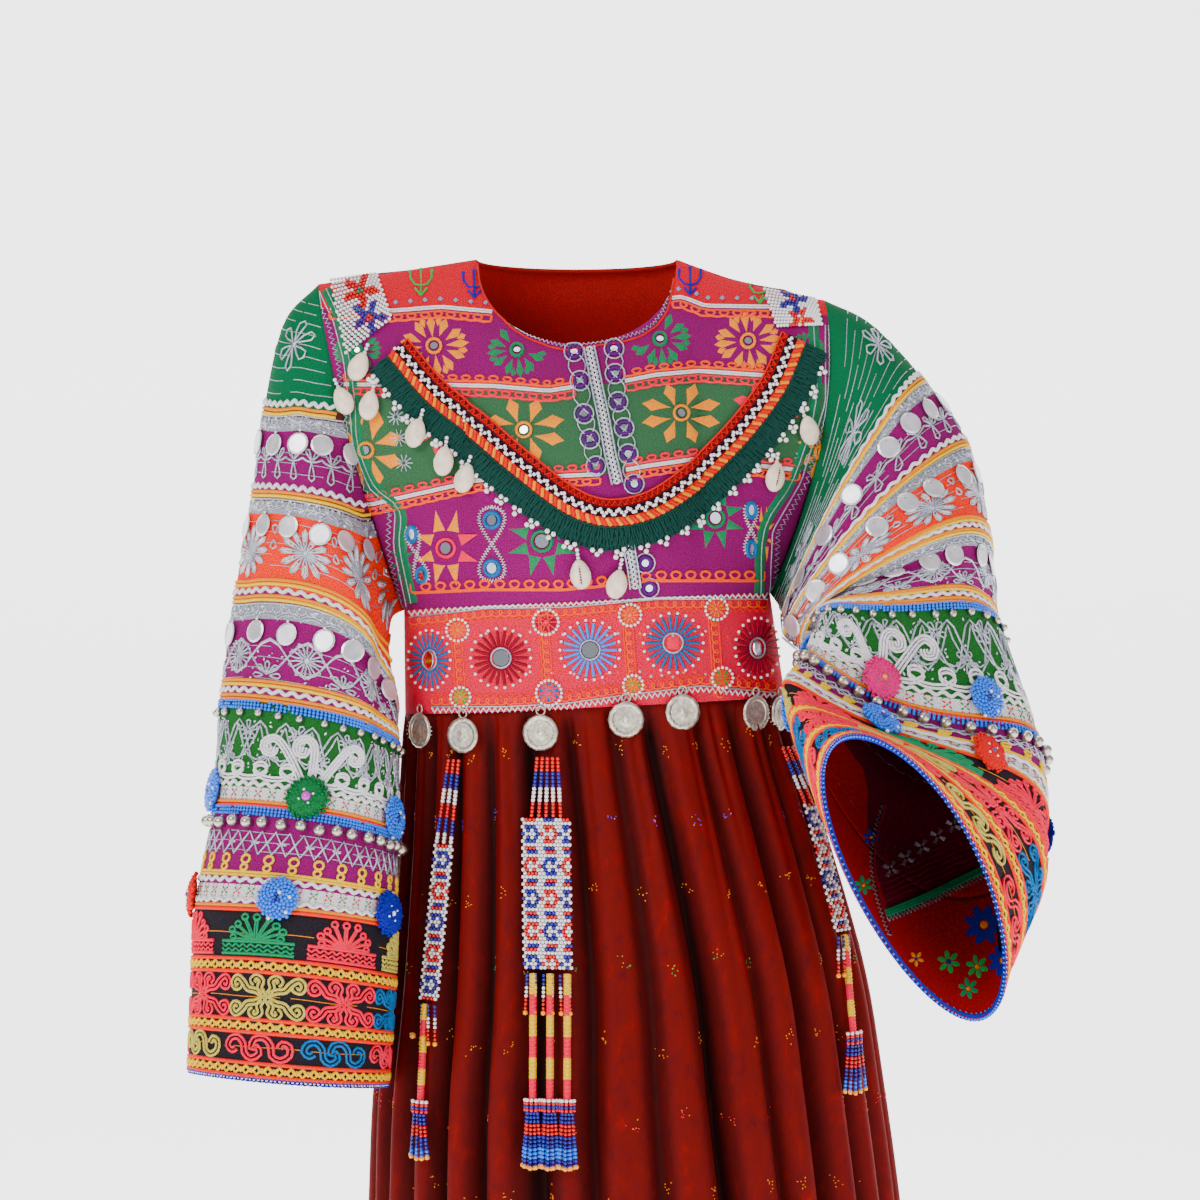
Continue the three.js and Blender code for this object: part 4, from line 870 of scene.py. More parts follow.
def buildHoop(bm):
    # a small wire ring, from a circle spun round
    ring = bmesh.ops.create_circle(bm, segments=5, radius=0.16, cap_ends=False)
    bmesh.ops.rotate(bm, verts=ring["verts"], cent=(0, 0, 0), matrix=Matrix.Rotation(math.pi / 2, 3, "X"))
    bmesh.ops.translate(bm, verts=ring["verts"], vec=(0.84, 0, 0))
    edges = list(bm.edges)
    bmesh.ops.spin(bm, geom=ring["verts"] + edges, cent=(0, 0, 0), axis=(0, 0, 1), angle=2 * math.pi,
                   steps=14, use_merge=True, use_duplicate=False)


def buildPetal(bm):
    # a diamond mound with its widest place near the outer tip
    buildMound(4)(bm)
    for vert in bm.verts:
        vert.co.x += 0.3 * abs(vert.co.y)


def buildRay(bm):
    # a three-sided mound with its tip along x
    buildMound(3)(bm)
    bmesh.ops.rotate(bm, verts=bm.verts, cent=(0, 0, 0), matrix=Matrix.Rotation(-math.pi / 2, 3, "Z"))


makeShape("petal", buildPetal)
makeShape("ray", buildRay)
for name, sides in (("triangle", 3), ("diamond", 4), ("lozenge", 6), ("round", 10)):
    makeShape(name, buildMound(sides))
makeShape("disc", buildDrum(14, 0.82))
makeShape("mirror", buildDrum(12, 0.9))
makeShape("stub", buildDrum(6, 0.6))
makeShape("ball", buildBall(10, 6))
makeShape("seed", buildSeed)
makeShape("hoop", buildHoop)

flatShapes = ("disc", "mirror", "coinBody", "stub")
threadLooks = {}
beadDyes = {"whiteBead": (232, 228, 230), "blueBead": (70, 120, 215), "redBead": (190, 24, 30),
            "goldBead": (226, 150, 30), "navyBead": (44, 46, 130), "greenBead": (30, 120, 90),
            "magentaBead": (190, 60, 190)}
metals = {
    "mirrorGlass": ("mirrorGlass", (205, 212, 220), {"roughness": 0.12, "metallic": 1.0}),
    "discMetal": ("discMetal", (226, 222, 228), {"roughness": 0.34, "metallic": 0.7, "grain": 90,
                                                 "vary": 0.12}),
    "coinMetal": ("wornCoin", (206, 200, 188), {"roughness": 0.4, "metallic": 0.9, "grain": 330}),
    "bellMetal": ("bellMetal", (190, 182, 172), {"roughness": 0.3, "metallic": 1.0}),
    # the silver thread's strong colour grain is partly its own tone and partly painted glints: bright and
    # dark specks standing in for reflections
    "silver": ("silverThread", "silver", {"roughness": 0.36, "metallic": 0.7, "grain": 1100, "vary": 0.45}),
    "shell": ("shellWhite", "shell", {"roughness": 0.25, "specular": 0.5, "grain": 120, "vary": 0.12}),
}
beadGloss = {"roughness": 0.22, "specular": 0.55}
threadGloss = {"roughness": 0.78, "grain": 1300, "vary": 0.3, "specular": 0.2}


def look(dye):
    # one material for each dye of thread, bead, metal or shell
    if dye not in threadLooks:
        if dye in metals:
            name, colour, finish = metals[dye]
        elif dye in beadDyes:
            name, colour, finish = dye, beadDyes[dye], beadGloss
        else:
            name, colour, finish = dye + "Thread", dye, threadGloss
        threadLooks[dye] = plainMaterial(name, colour, **finish)
    return threadLooks[dye]


onBodice = viewPlacer(bodiceFront, (325, 280), (495, 330), 0.05)
onWaist = viewPlacer(waistFront, (410, 600), (370, 105), (0.03, 0.05))


def onCloth(region, spots):
    # false where a band has run out into the armhole seam
    if region not in sleeveForm:
        return np.ones(len(spots), bool)
    along = alongOfBand(region, spots[:, 0] / sleeve["radius"], spots[:, 1])
    return (along > 1.5) & (along < sleeve["hem"] + 6)


def onRight(spots, lift):
    return onSleeve("right", spots[..., 0], spots[..., 1], lift)


def onLeft(spots, lift):
    return onSleeve("left", spots[..., 0], spots[..., 1], lift)


# Where embroidery goes: its surface, the mm in one step of its places, and -1 where down runs reversed
regions = {
    "bodice": {"at": onBodice, "unit": pixelScale, "flip": 1},
    "waist": {"at": onWaist, "unit": pixelScale, "flip": 1},
    "right": {"at": onRight, "unit": 1, "flip": 1},
    "left": {"at": onLeft, "unit": 1, "flip": -1},
}
threads = {}
mounds = {}
sideStep = 0.6


def sew(region, dye, radius, line, lift=0.3):
    # a thread, cord or braid along a line of cloth places
    threads.setdefault(region, []).append((dye, radius, np.asarray(line, float), lift))


def lay(region, shape, dye, spot, size, turn=0.0, lift=0.0, rigid=True, lean=0.0):
    # a mound, bead, disc or mirror at one cloth place
    mounds.setdefault(region, []).append((shape, dye, tuple(spot), tuple(size), turn, lift, rigid, lean))


def joinMesh(name, blocks):
    # one mesh from many placed shapes: each block is points, faces, their dye and whether they are round
    dyesUsed = sorted({block[2] for block in blocks})
    points = np.concatenate([block[0].reshape(-1, 3) for block in blocks])
    faces = []
    indices = []
    smooth = []
    offset = 0
    for blockPoints, blockFaces, dye, isRound in blocks:
        count = len(blockPoints) if blockPoints.ndim == 3 else 1
        size = blockPoints.shape[-2]
        starts = offset + np.arange(count)[:, None, None] * size
        faces.append((blockFaces[None] + starts).reshape(-1, 3))
        indices.append(np.full(len(blockFaces) * count, dyesUsed.index(dye)))
        smooth.append(np.full(len(blockFaces) * count, isRound))
        offset += count * size
    faces = np.concatenate(faces)
    indices = np.concatenate(indices)
    mesh = bpy.data.meshes.new(name)
    mesh.from_pydata((points * mm).tolist(), [], faces.tolist())
    for dye in dyesUsed:
        mesh.materials.append(look(dye))
    mesh.polygons.foreach_set("material_index", indices.astype(np.int32))
    mesh.polygons.foreach_set("use_smooth", np.concatenate(smooth))
    mesh.update()
    print("piece", name, "faces", len(faces))
    return finishPiece(addObject(name, mesh))


def layAll(region, name):
    surface = regions[region]["at"]
    unit = regions[region]["unit"]
    flip = regions[region]["flip"]
    groups = {}
    items = mounds.pop(region, [])
    kept = onCloth(region, np.array([item[2] for item in items], float)) if items else []
    for (shape, dye, spot, size, turn, lift, rigid, lean), keep in zip(items, kept):
        if not keep:
            continue
        groups.setdefault((shape, dye, rigid), []).append((spot, size, turn, lift, lean))
    blocks = []
    for (shape, dye, rigid), items in groups.items():
        points, faces = shapes[shape]
        spots = np.array([item[0] for item in items], float)
        sizes = np.array([item[1] for item in items], float)
        turns = np.array([item[2] for item in items], float)
        lifts = np.array([item[3] for item in items], float)
        leans = np.array([item[4] for item in items], float)
        local = points[None] * sizes[:, None, :]
        cosine = np.cos(turns)[:, None]
        sine = np.sin(turns)[:, None]
        right = local[..., 0] * cosine - local[..., 1] * sine
        down = local[..., 0] * sine + local[..., 1] * cosine
        if rigid:
            here, normal = surface(spots, lifts)
            beside, _ = surface(spots + np.array([sideStep, 0.0]) / unit, lifts)
            sideways = beside - here
            sideways = sideways / np.linalg.norm(sideways, axis=-1, keepdims=True)
            downwards = np.cross(normal, sideways) * -1
            if flip < 0:
                downwards = -downwards
            tilted = normal + sideways * np.sin(leans)[:, None]
            tilted = tilted / np.linalg.norm(tilted, axis=-1, keepdims=True)
            placed = (here[:, None] + right[..., None] * sideways[:, None]
                      + down[..., None] * downwards[:, None] + local[..., 2][..., None] * tilted[:, None])
        else:
            flat = spots[:, None] + np.stack([right, down], axis=-1) / unit
            placed, _ = surface(flat.reshape(-1, 2), (local[..., 2] + lifts[:, None]).ravel())
            placed = placed.reshape(local.shape)
        turned = faces[:, ::-1] if rigid or flip > 0 else faces
        blocks.append((placed, turned, dye, shape not in flatShapes))
    return joinMesh(name, blocks) if blocks else None


def sewAll(region, name):
    # every thread of a region as one curve with a round bevel, turned into a mesh
    surface = regions[region]["at"]
    lines = []
    for dye, radius, line, lift in threads.pop(region, []):
        kept = onCloth(region, line)
        edges = np.flatnonzero(np.diff(kept.astype(int))) + 1
        for part, keep in zip(np.split(line, edges), np.split(kept, edges)):
            if keep[0] and len(part) > 1:
                lines.append((dye, radius, part, lift))
    if not lines:
        return None
    spots = np.concatenate([line for _, _, line, _ in lines])
    lifts = np.concatenate([np.full(len(line), lift) for _, _, line, lift in lines])
    placed, _ = surface(spots, lifts)
    curve = bpy.data.curves.new(name, "CURVE")
    curve.dimensions = "3D"
    curve.bevel_depth = mm
    curve.bevel_resolution = 0
    curve.use_fill_caps = True
    dyesUsed = sorted({dye for dye, _, _, _ in lines})
    for dye in dyesUsed:
        curve.materials.append(look(dye))
    start = 0
    for dye, radius, line, _ in lines:
        part = placed[start:start + len(line)]
        start += len(line)
        closed = len(line) > 3 and np.linalg.norm(part[0] - part[-1]) < 0.05
        if closed:
            part = part[:-1]
        spline = curve.splines.new("POLY")
        spline.points.add(len(part) - 1)
        spline.points.foreach_set("co", np.column_stack([part * mm, np.ones(len(part))]).ravel())
        spline.points.foreach_set("radius", np.full(len(part), radius))
        spline.use_cyclic_u = bool(closed)
        spline.material_index = dyesUsed.index(dye)
    source = addObject(name + "Lines", curve)
    graph = bpy.context.evaluated_depsgraph_get()
    mesh = bpy.data.meshes.new_from_object(source.evaluated_get(graph))
    mesh.name = name
    bpy.data.objects.remove(source)
    mesh.polygons.foreach_set("use_smooth", [True] * len(mesh.polygons))
    print("piece", name, "faces", len(mesh.polygons))
    return finishPiece(addObject(name, mesh))


def placer(region, spot, turn=0.0, scale=(1.0, 1.0)):
    # places given in mm round the middle of a motif, turned and stretched, as cloth places of the region
    unit = regions[region]["unit"]
    cosine = math.cos(turn)
    sine = math.sin(turn)

    def place(points):
        points = np.asarray(points, float) * np.asarray(scale)
        turned = np.stack([points[..., 0] * cosine - points[..., 1] * sine,
                           points[..., 0] * sine + points[..., 1] * cosine], axis=-1)
        return np.asarray(spot, float) + turned / unit
    return place


def ringLine(radius, steps=12, start=0.0, end=2 * math.pi):
    angles = np.linspace(start, end, steps + 1)
    return np.stack([radius * np.cos(angles), radius * np.sin(angles)], axis=-1)


def polar(radius, angle):
    return np.array([radius * math.cos(angle), radius * math.sin(angle)])


def turnsOf(count, start=0.0):
    return [start + 2 * math.pi * index / count for index in range(count)]


def normalsOf(points):
    # directions square to a line, at each of its points
    ahead = np.gradient(points, axis=0)
    ahead = ahead / np.maximum(np.linalg.norm(ahead, axis=1, keepdims=True), 1e-6)
    return np.stack([-ahead[:, 1], ahead[:, 0]], axis=1)


def pathLength(region, path):
    path = np.asarray(path, float) * regions[region]["unit"]
    return float(np.linalg.norm(np.diff(path, axis=0), axis=1).sum())


def besidePath(region, path, distance, aside):
    # cloth places at distances along a path, in mm, and to one side of it
    unit = regions[region]["unit"]
    path = np.asarray(path, float) * unit
    steps = np.linalg.norm(np.diff(path, axis=0), axis=1)
    reached = np.concatenate([[0], np.cumsum(steps)])
    distance = np.asarray(distance, float)

    def at(value):
        return np.stack([np.interp(value, reached, path[:, axis]) for axis in (0, 1)], axis=-1)

    here = at(distance)
    ahead = at(np.clip(distance + 3, 0, reached[-1])) - at(np.clip(distance - 3, 0, reached[-1]))
    ahead = ahead / np.linalg.norm(ahead, axis=-1, keepdims=True)
    normal = np.stack([-ahead[..., 1], ahead[..., 0]], axis=-1)
    return (here + normal * np.asarray(aside, float)[..., None]) / unit


def sewZigzag(region, dye, radius, path, pitch, height, aside=0.0, lift=0.3):
    length = pathLength(region, path)
    count = max(2, int(round(length / pitch)))
    steps = np.arange(2 * count + 1)
    away = aside + np.where(steps % 2, height, -height) / 2
    sew(region, dye, radius, besidePath(region, path, steps * length / (2 * count), away), lift)


def sewCord(region, dye, radius, path, aside=0.0, step=7.0, lift=0.3):
    length = pathLength(region, path)
    count = max(2, int(length / step))
    along = np.linspace(0, length, count + 1)
    sew(region, dye, radius, besidePath(region, path, along, np.full(count + 1, aside)), lift)


def sewLoops(region, dye, radius, path, pitch, height, aside=0.0, curl=0.75, detail=10, lift=0.3, phase=0.0):
    # a running row of curled loops, the more curled the larger curl is
    length = pathLength(region, path)
    count = max(1, int(round(length / pitch)))
    angle = np.linspace(0, 2 * math.pi * count, detail * count + 1)
    along = length * angle / (2 * math.pi * count) - curl * (length / count) / 2 * np.sin(angle + phase)
    away = aside - height / 2 * np.cos(angle + phase)
    sew(region, dye, radius, besidePath(region, path, np.clip(along, 0, length), away), lift)


def sewChain(region, dye, radius, path, pitch, height, aside=0.0, detail=4, lift=0.3):
    # two waving threads that cross: a row of eye-shaped links
    for way in (-1, 1):
        length = pathLength(region, path)
        count = max(1, int(round(length / pitch)))
        share = np.linspace(0, count, detail * count + 1)
        away = aside + way * height / 2 * np.sin(np.pi * share)
        sew(region, dye, radius, besidePath(region, path, share * length / count, away), lift)


def beadRow(region, dye, size, path, pitch, aside=0.0, lift=None, shape="seed", skip=0.0):
    length = pathLength(region, path)
    count = max(1, int(round(length / pitch)))
    along = (np.arange(count) + 0.5) * length / count
    for spot in besidePath(region, path, along, np.full(count, aside)):
        if random.random() >= skip:
            lay(region, shape, dye, spot, (size,) * 3, lift=size * 0.6 if lift is None else lift)


# Motifs of the embroidery
neckEdge = [(476, 262), (482, 275), (488, 291), (496, 310), (508, 327), (526, 339), (549, 348), (567, 352),
            (590, 348), (621, 344), (643, 337), (658, 327), (668, 313), (673, 298), (674, 280), (673, 262)]


def belowNeck(spot):
    # whether a place of the front view lies clear of the neck opening
    xs, ys = zip(*neckEdge[:-2])
    return not 476 < spot[0] < 674 or spot[1] > np.interp(spot[0], xs, ys) + 5


def flowerOfLobes(region, spot, dye, size=28.0, down=0.86):
    # four fans of three flat petals round a mirror in a stitched ring
    squash = placer(region, spot, 0, (size, down * size))
    for lobe in turnsOf(4):
        for fan, reach, length, width in ((-0.5, 0.66, 0.27, 0.13), (0, 0.66, 0.33, 0.12),
                                          (0.5, 0.66, 0.27, 0.13),
                                          (-0.27, 0.82, 0.14, 0.09), (0.27, 0.82, 0.14, 0.09)):
            angle = lobe + fan - 0.12
            at = squash(polar(reach, angle))
            if belowNeck(at):
                lay(region, "petal", dye, at, (length * size, width * size, 0.9), angle, rigid=False)
    place = placer(region, spot)
    sew(region, dye, 1.6, place(ringLine(0.2 * size, 14)), 0.5)
    lay(region, "mirror", "mirrorGlass", spot, (0.12 * size, 0.12 * size, 1.0))


def starOfPetals(region, spot, dye, across, down, mirror=4.0, shape="petal", second=None):
    # eight flat petals or pointed rays round a mirror; a second dye takes the right-hand ones
    place = placer(region, spot, 0, (across, down))
    length, width, reach = (0.37, 0.2, 0.64) if shape == "petal" else (0.36, 0.2, 0.62)
    for petal, angle in enumerate(turnsOf(8, math.pi / 8)):
        at = place(polar(reach, angle))
        lean = math.atan2(down * math.sin(angle), across * math.cos(angle)) + (0.16 if petal % 2 else -0.16)
        size = math.hypot(across * math.cos(angle), down * math.sin(angle))
        ray = second if second and math.cos(angle) > 0.5 else dye
        lay(region, shape, ray, at, (length * size, width * min(across, down), 1.0), lean, rigid=False)
    if mirror:
        sew(region, second or dye, 1.5, placer(region, spot)(ringLine(mirror + 2.4, 14)), 0.6)
        lay(region, "mirror", "mirrorGlass", spot, (mirror, mirror, 1.1))


def figureEight(region, top, low, across=13.0):
    # two blue-ringed mirrors in one crossing line of white rope
    top, low = np.array(top, float), np.array(low, float)
    middle = (top + low) / 2
    half = (low - top) / 2
    reach = half * (1 + across / np.linalg.norm(half))
    angles = np.linspace(0, 2 * math.pi, 41)
    line = [tuple(middle - reach * math.cos(angle) + np.array([across * math.sin(2 * angle), 0]))
            for angle in angles]
    sewZigzag(region, "white", 0.75, line, 2.6, 2.8)
    for spot in (top, low):
        place = placer(region, tuple(spot), 0, (min(1.0, across / 11), 1))
        sew(region, "teal", 1.9, place(ringLine(6.6, 14)), 0.6)
        lay(region, "mirror", "mirrorGlass", tuple(spot), (5.0 * min(1.0, across / 11), 5.0, 1.0))


def rosette(region, spot, dye="silver", size=6.5, rays=10):
    place = placer(region, spot)
    for angle in turnsOf(rays):
        way = polar(1, angle)
        sew(region, dye, 0.6, place([way * 1.6, way * size]), 0.4)


def mirrorLoop(region, spot, size=8.0, dye="silver", ring="plum", turn=0.0):
    place = placer(region, spot, turn)
    sew(region, dye, 0.9, place(ringLine(size, 14)), 0.5)
    sew(region, ring, 0.2 * size, place(ringLine(0.62 * size, 12)), 0.5)
    lay(region, "mirror", "mirrorGlass", spot, (0.4 * size, 0.4 * size, 1.2))


def anchor(region, spot, dye, size=9.0):
    place = placer(region, spot, 0, (size, size))
    sew(region, dye, 1.1, place([(0, -1.2), (0, 1.1)]), 0.5)
    for way in (-1, 1):
        arm = [(way * 1.0, -1.0), (way * 0.95, -0.3), (way * 0.55, 0.25), (0, 0.35)]
        sew(region, dye, 1.1, place(arm), 0.5)
        sew(region, dye, 1.1, place([(way * 0.55, 0.6), (0, 1.25)]), 0.5)
        lay(region, "diamond", dye, place((way * 1.0, -1.05)), (1.9, 1.9, 0.8), rigid=False)
    lay(region, "diamond", dye, place((0, -1.25)), (1.9, 1.9, 0.8), rigid=False)


def medallion(region, spot, dye, size=26.0, mirror=7.5, squeeze=1.0, centre=None):
    place = placer(region, spot, 0, (squeeze, 1))
    rays = 22
    for angle in turnsOf(rays):
        way = polar(1, angle)
        ray = [way * (mirror + 2.4), way * 0.5 * (mirror + size), way * 0.9 * size]
        sew(region, dye, 1.25, place(ray), 0.4)
        lay(region, "seed", "whiteBead", place(way * size), (1.5, 1.5, 1.5), lift=1.0)
        half = polar(1, angle + math.pi / rays)
        sew(region, "rose", 0.5, place([half * (mirror + 4), half * 0.84 * size]), 0.3)
    sew(region, "silver", 0.9, place(ringLine(mirror + 1.2, 16)), 0.6)
    if centre:
        lay(region, "diamond", centre, spot, (mirror, mirror, 1.2), math.pi / 4)
    else:
        lay(region, "mirror", "mirrorGlass", spot, (mirror * squeeze, mirror, 1.2))


def beadCircle(region, spot, dye, size=12.0, squeeze=1.0, inner=None):
    place = placer(region, spot, 0, (squeeze, 1))
    for angle in turnsOf(max(10, int(2 * math.pi * size / 3.4))):
        lay(region, "seed", "whiteBead", place(polar(size, angle)), (1.5,) * 3, lift=1.0)
    lay(region, "round", dye, spot, (0.82 * size * squeeze, 0.82 * size, 0.9), rigid=False)
    for angle in turnsOf(10):
        way = polar(1, angle)
        sew(region, inner or dye, 0.6, place([way * 0.3 * size, way * 0.78 * size]), 1.0)
    lay(region, "round", inner or "gold", spot, (0.24 * size * squeeze, 0.24 * size, 1.6), rigid=False)


# Bodice embroidery, laid by places in the front view
firstLine, secondLine, thirdLine, lastLine = bodiceLines[1:]
firstLine = [(322, 308)] + firstLine[1:-1] + [(822, 314)]


def partOfLine(line, start, end, drop=0.0):
    xs = [start] + [spot[0] for spot in line if start < spot[0] < end] + [end]
    heights = np.interp(xs, [spot[0] for spot in line], [spot[1] for spot in line])
    return [(x, drop + float(height)) for x, height in zip(xs, heights)]


for line, start, end, first, second in (
        (firstLine, 330, 492, "wave", None), (firstLine, 672, 818, "wave", None),
        (secondLine, 344, 574, "rose", "wave"), (secondLine, 625, 812, "rose", "wave"),
        (thirdLine, 358, 600, "wave", "rose"), (thirdLine, 626, 800, "wave", "rose")):
    path = partOfLine(line, start, end)
    for aside in (-0.9, 0.9):
        sewCord("bodice", "white", 0.95, path, aside=aside)
    sewLoops("bodice", first, 1.3, path, 12.0, 5.6, aside=6.4, curl=1.1)
    sewCord("bodice", first, 0.9, path, aside=3.4)
    if second:
        sewLoops("bodice", second, 1.2, path, 12.0, 5.2, aside=-6.2, curl=1.1)
        sewCord("bodice", second, 0.8, path, aside=-3.2)
for start, end in ((330, 492), (672, 818)):
    beadRow("bodice", "greyBlue", 2.4, partOfLine(firstLine, start, end), 13.0, aside=-7.0, lift=0.4,
            shape="diamond")
path = partOfLine(lastLine, 412, 764)
sewLoops("bodice", "wave", 1.4, path, 13.0, 8.0, aside=-8.0, curl=1.1)
sewCord("bodice", "wave", 1.2, path, aside=-3.6)

for spot, dye in (((421, 282), "brightGreen"), ((474, 284), "navy"), ((690, 281), "navy"),
                  ((760, 290), "brightGreen")):
    anchor("bodice", spot, dye, 9.5)
for spot, dye, size in (((434, 346), "gold", 31), ((517, 350), "leafGreen", 27),
                        ((660, 339), "leafGreen", 28),
                        ((748, 341), "gold", 30), ((357, 350), "leafGreen", 22),
                        ((806, 350), "leafGreen", 18)):
    flowerOfLobes("bodice", spot, dye, size)
for spot, dye, across, down in (((524, 430), "gold", 37, 29), ((681, 413), "gold", 36, 27),
                                ((366, 450), "gold", 33, 36), ((766, 408), "cordPink", 30, 24),
                                ((446, 428), "cordPink", 28, 24), ((822, 452), "gold", 22, 26)):
    starOfPetals("bodice", spot, dye, across, down)
for spot in ((396, 417), (399, 438), (404, 463), (803, 458)):
    rosette("bodice", spot, size=7.5)
for spot, dye, across, down, mirror, second in (
        ((446, 548), "gold", 30, 36, 5.5, "cordPink"), ((542, 541), "leafGreen", 32, 33, 6.5, None),
        ((715, 518), "leafGreen", 27, 29, 5.5, None), ((764, 534), "gold", 10, 27, 0, None),
        ((402, 560), "leafGreen", 11, 22, 0, None)):
    starOfPetals("bodice", spot, dye, across, down, mirror, "ray", second)
figureEight("bodice", (412, 534), (422, 575), 7.0)
figureEight("bodice", (492, 520), (492, 568), 13.0)
figureEight("bodice", (751, 510), (751, 549), 6.5)
for side, line in ((-1, [(322, 290), (337, 321), (347, 360), (353, 405), (356, 444), (372, 486), (399, 511),
                         (397, 546), (410, 606)]),
                   (1, [(822, 325), (822, 402), (798, 480), (769, 530), (766, 598)])):
    sewCord("bodice", "silver", 0.7, line, aside=-side * 3)
    sewZigzag("bodice", "silver", 0.55, line, 5.0, 4.0, aside=-side * 8)

# Silver braid and mirror loops from the neck down to the trim
braidLine = [(589, 349), (595, 378), (603, 416), (610, 454), (617, 484)]
braidTail = [(628, 545), (632, 566), (635, 588)]
for line in (braidLine, braidTail):
    for aside in (-4.6, 4.6):
        sewCord("bodice", "silver", 1.0, line, aside=aside, step=4, lift=2.6)
    sewChain("bodice", "silver", 0.95, line, 4.2, 6.4, lift=2.6)
    sewChain("bodice", "white", 0.6, line, 4.2, 3.0, lift=3.0)
for spot in ((614, 349), (615, 374), (618, 402), (624, 428), (628, 454), (634, 484), (645, 563), (574, 352),
             (580, 381), (584, 414), (590, 439), (596, 466), (649, 588)):
    mirrorLoop("bodice", spot, 8.6)
for column in ([(614, 349), (615, 374), (618, 402), (624, 428), (628, 454), (634, 484)],
               [(574, 352), (580, 381), (584, 414), (590, 439), (596, 466)]):
    sewChain("bodice", "silver", 0.7, column, 23.0, 15, detail=6, lift=0.9)

# Neck binding of twisted silver and red
sewCord("bodice", "edgeRed", 1.3, neckEdge, aside=-1.0, step=6)
sewZigzag("bodice", "silver", 0.55, neckEdge, 4.0, 3.0, aside=-4.5)

print("bodice motifs ready")
piece = sewAll("bodice", "bodiceThreads")
piece = layAll("bodice", "bodiceStitches")
for node in ("placket_braid_upper", "placket_braid_lower"):
    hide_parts(node)

# Waistband embroidery
topEdge = [(409, 612), (487, 603), (564, 602), (656, 594), (767, 594)]
lowEdge = [(432, 712), (502, 712), (564, 709), (620, 701), (702, 691), (775, 698)]
for line, way in ((topEdge, 1), (lowEdge, -1)):
    sewZigzag("waist", "white", 1.0, line, 5.0, 4.2, aside=way * 1.5)
    sewCord("waist", "silver", 0.7, line, aside=way * 4.6)
    sewLoops("waist", "wave", 0.9, line, 8.0, 5.5, aside=way * 9.0)
    sewZigzag("waist", "orange", 0.8, line, 6.0, 3.4, aside=way * 13.6)
for x in (458, 546, 630, 716):
    bar = [(x - 3, 615), (x, 655), (x + 3, 697)]
    sewLoops("waist", "wave", 0.9, bar, 8.0, 5.0)
    for aside in (-4.2, 4.2):
        sewCord("waist", "orange", 0.8, bar, aside=aside)
medallion("waist", (430, 660), "teal", squeeze=0.7)
medallion("waist", (501, 658), "maroon")
medallion("waist", (590, 650), "blue")
medallion("waist", (673, 643), "teal", centre="cordPink")
medallion("waist", (757, 648), "maroon", squeeze=0.75)
for spot, dye, inner, size in (((458, 630), "cordPink", "gold", 9.5), ((546, 622), "maroon", "cordPink", 11),
                               ((630, 615), "cordPink", "gold", 9.5), ((716, 609), "cordPink", "gold", 9.5),
                               ((461, 697), "brightGreen", "gold", 8.5), ((549, 693), "teal", "cordPink", 11),
                               ((633, 685), "brightGreen", "gold", 8.5),
                               ((722, 678), "brightGreen", "orange", 9)):
    beadCircle("waist", spot, dye, size, inner=inner)
for x in range(420, 775, 11):
    for y in (634, 674):
        lay("waist", "diamond", random.choice(["gold", "silver", "orange"]), (x, y + random.uniform(-3, 3)),
            (1.5, 1.5, 0.7), rigid=False)
sewAll("waist", "waistbandThreads")
layAll("waist", "waistbandStitches")
print("waistband ready")


def ribbon(name, region, path, low, high, material, slot, lift=1.0, dome=0.6, columns=6, step=5.0):
    # a flat trim along a path, low and high being its edges beside the path
    length = pathLength(region, path)
    steps = max(4, int(length / step))
    mesh, alongShare, share = flatGrid(name, steps, columns)
    along = alongShare * length
    aside = low + (high - low) * share
    spots = besidePath(region, path, along, aside)
    height = lift + dome * (1 - (2 * share - 1) ** 4) - 1.2 * (np.abs(2 * share - 1) > 0.999)
    points, _ = regions[region]["at"](spots, height)
    mesh.vertices.foreach_set("co", (points * mm).ravel())
    addLayer(mesh, "cloth", (along, aside - low))
    mesh.update()
    outward = regions[region]["at"](spots[:1], np.array([1.0]))[1][0]
    if np.dot(outward, np.array(mesh.polygons[0].normal)) < 0:
        mesh.flip_normals()
    mesh.polygons.foreach_set("use_smooth", [True] * len(mesh.polygons))
    mesh.materials.append(material)
    return finishPiece(addObject(name, mesh))


# Sleeves: the same bands round both, each row placed by its distance down the sleeve in mm
fullRound = 2 * math.pi * sleeve["radius"]
aroundSteps = 60


def around(band):
    return [(fullRound * step / aroundSteps, band) for step in range(aroundSteps + 1)]


def spread(count, shift=0.5):
    # places spread evenly round the sleeve
    return [fullRound * (index + shift) / count for index in range(count)]


def doubleCord(region, dye, points, gap=1.9, radius=1.45, lift=0.7):
    # a couched double cord: two threads beside one line
    points = np.asarray(points, float)
    for way in (-1, 1):
        sew(region, dye, radius, points + way * gap * normalsOf(points), lift)


def smoothLine(points, steps=3):
    # rounds a given line off
    points = np.asarray(points, float)
    places = np.arange(len(points))
    fine = np.linspace(0, len(points) - 1, steps * (len(points) - 1) + 1)
    return throughRows(places, points, fine)


scrollQuarter = smoothLine([(9, -11), (11.5, -14), (8, -17.5), (3.6, -14), (5, -8), (2, -2), (8, -5),
                            (15, -6.5), (19, -12), (25, -16.5), (29, -12), (27, -7), (22.5, -8), (22.5, -11)])
scrollRow = smoothLine([(-17, 1), (-20, 3), (-24, 0), (-22, -6), (-16, -8), (-11, -3), (-10, 4), (-5, 8),
                        (1, 4),
                        (-1, -1), (-5, 0), (-3, -7), (4, -8.5), (9, -3), (10, 5), (16, 8), (22, 4), (22, -3),
                        (17, -5), (15, -1)], 2)


def scrollSquare(region, spot, dye):
    for mirrorX in (-1, 1):
        for mirrorY in (-1, 1):
            place = placer(region, spot, 0, (mirrorX, mirrorY))
            doubleCord(region, dye, place(scrollQuarter), 1.8, 1.35)


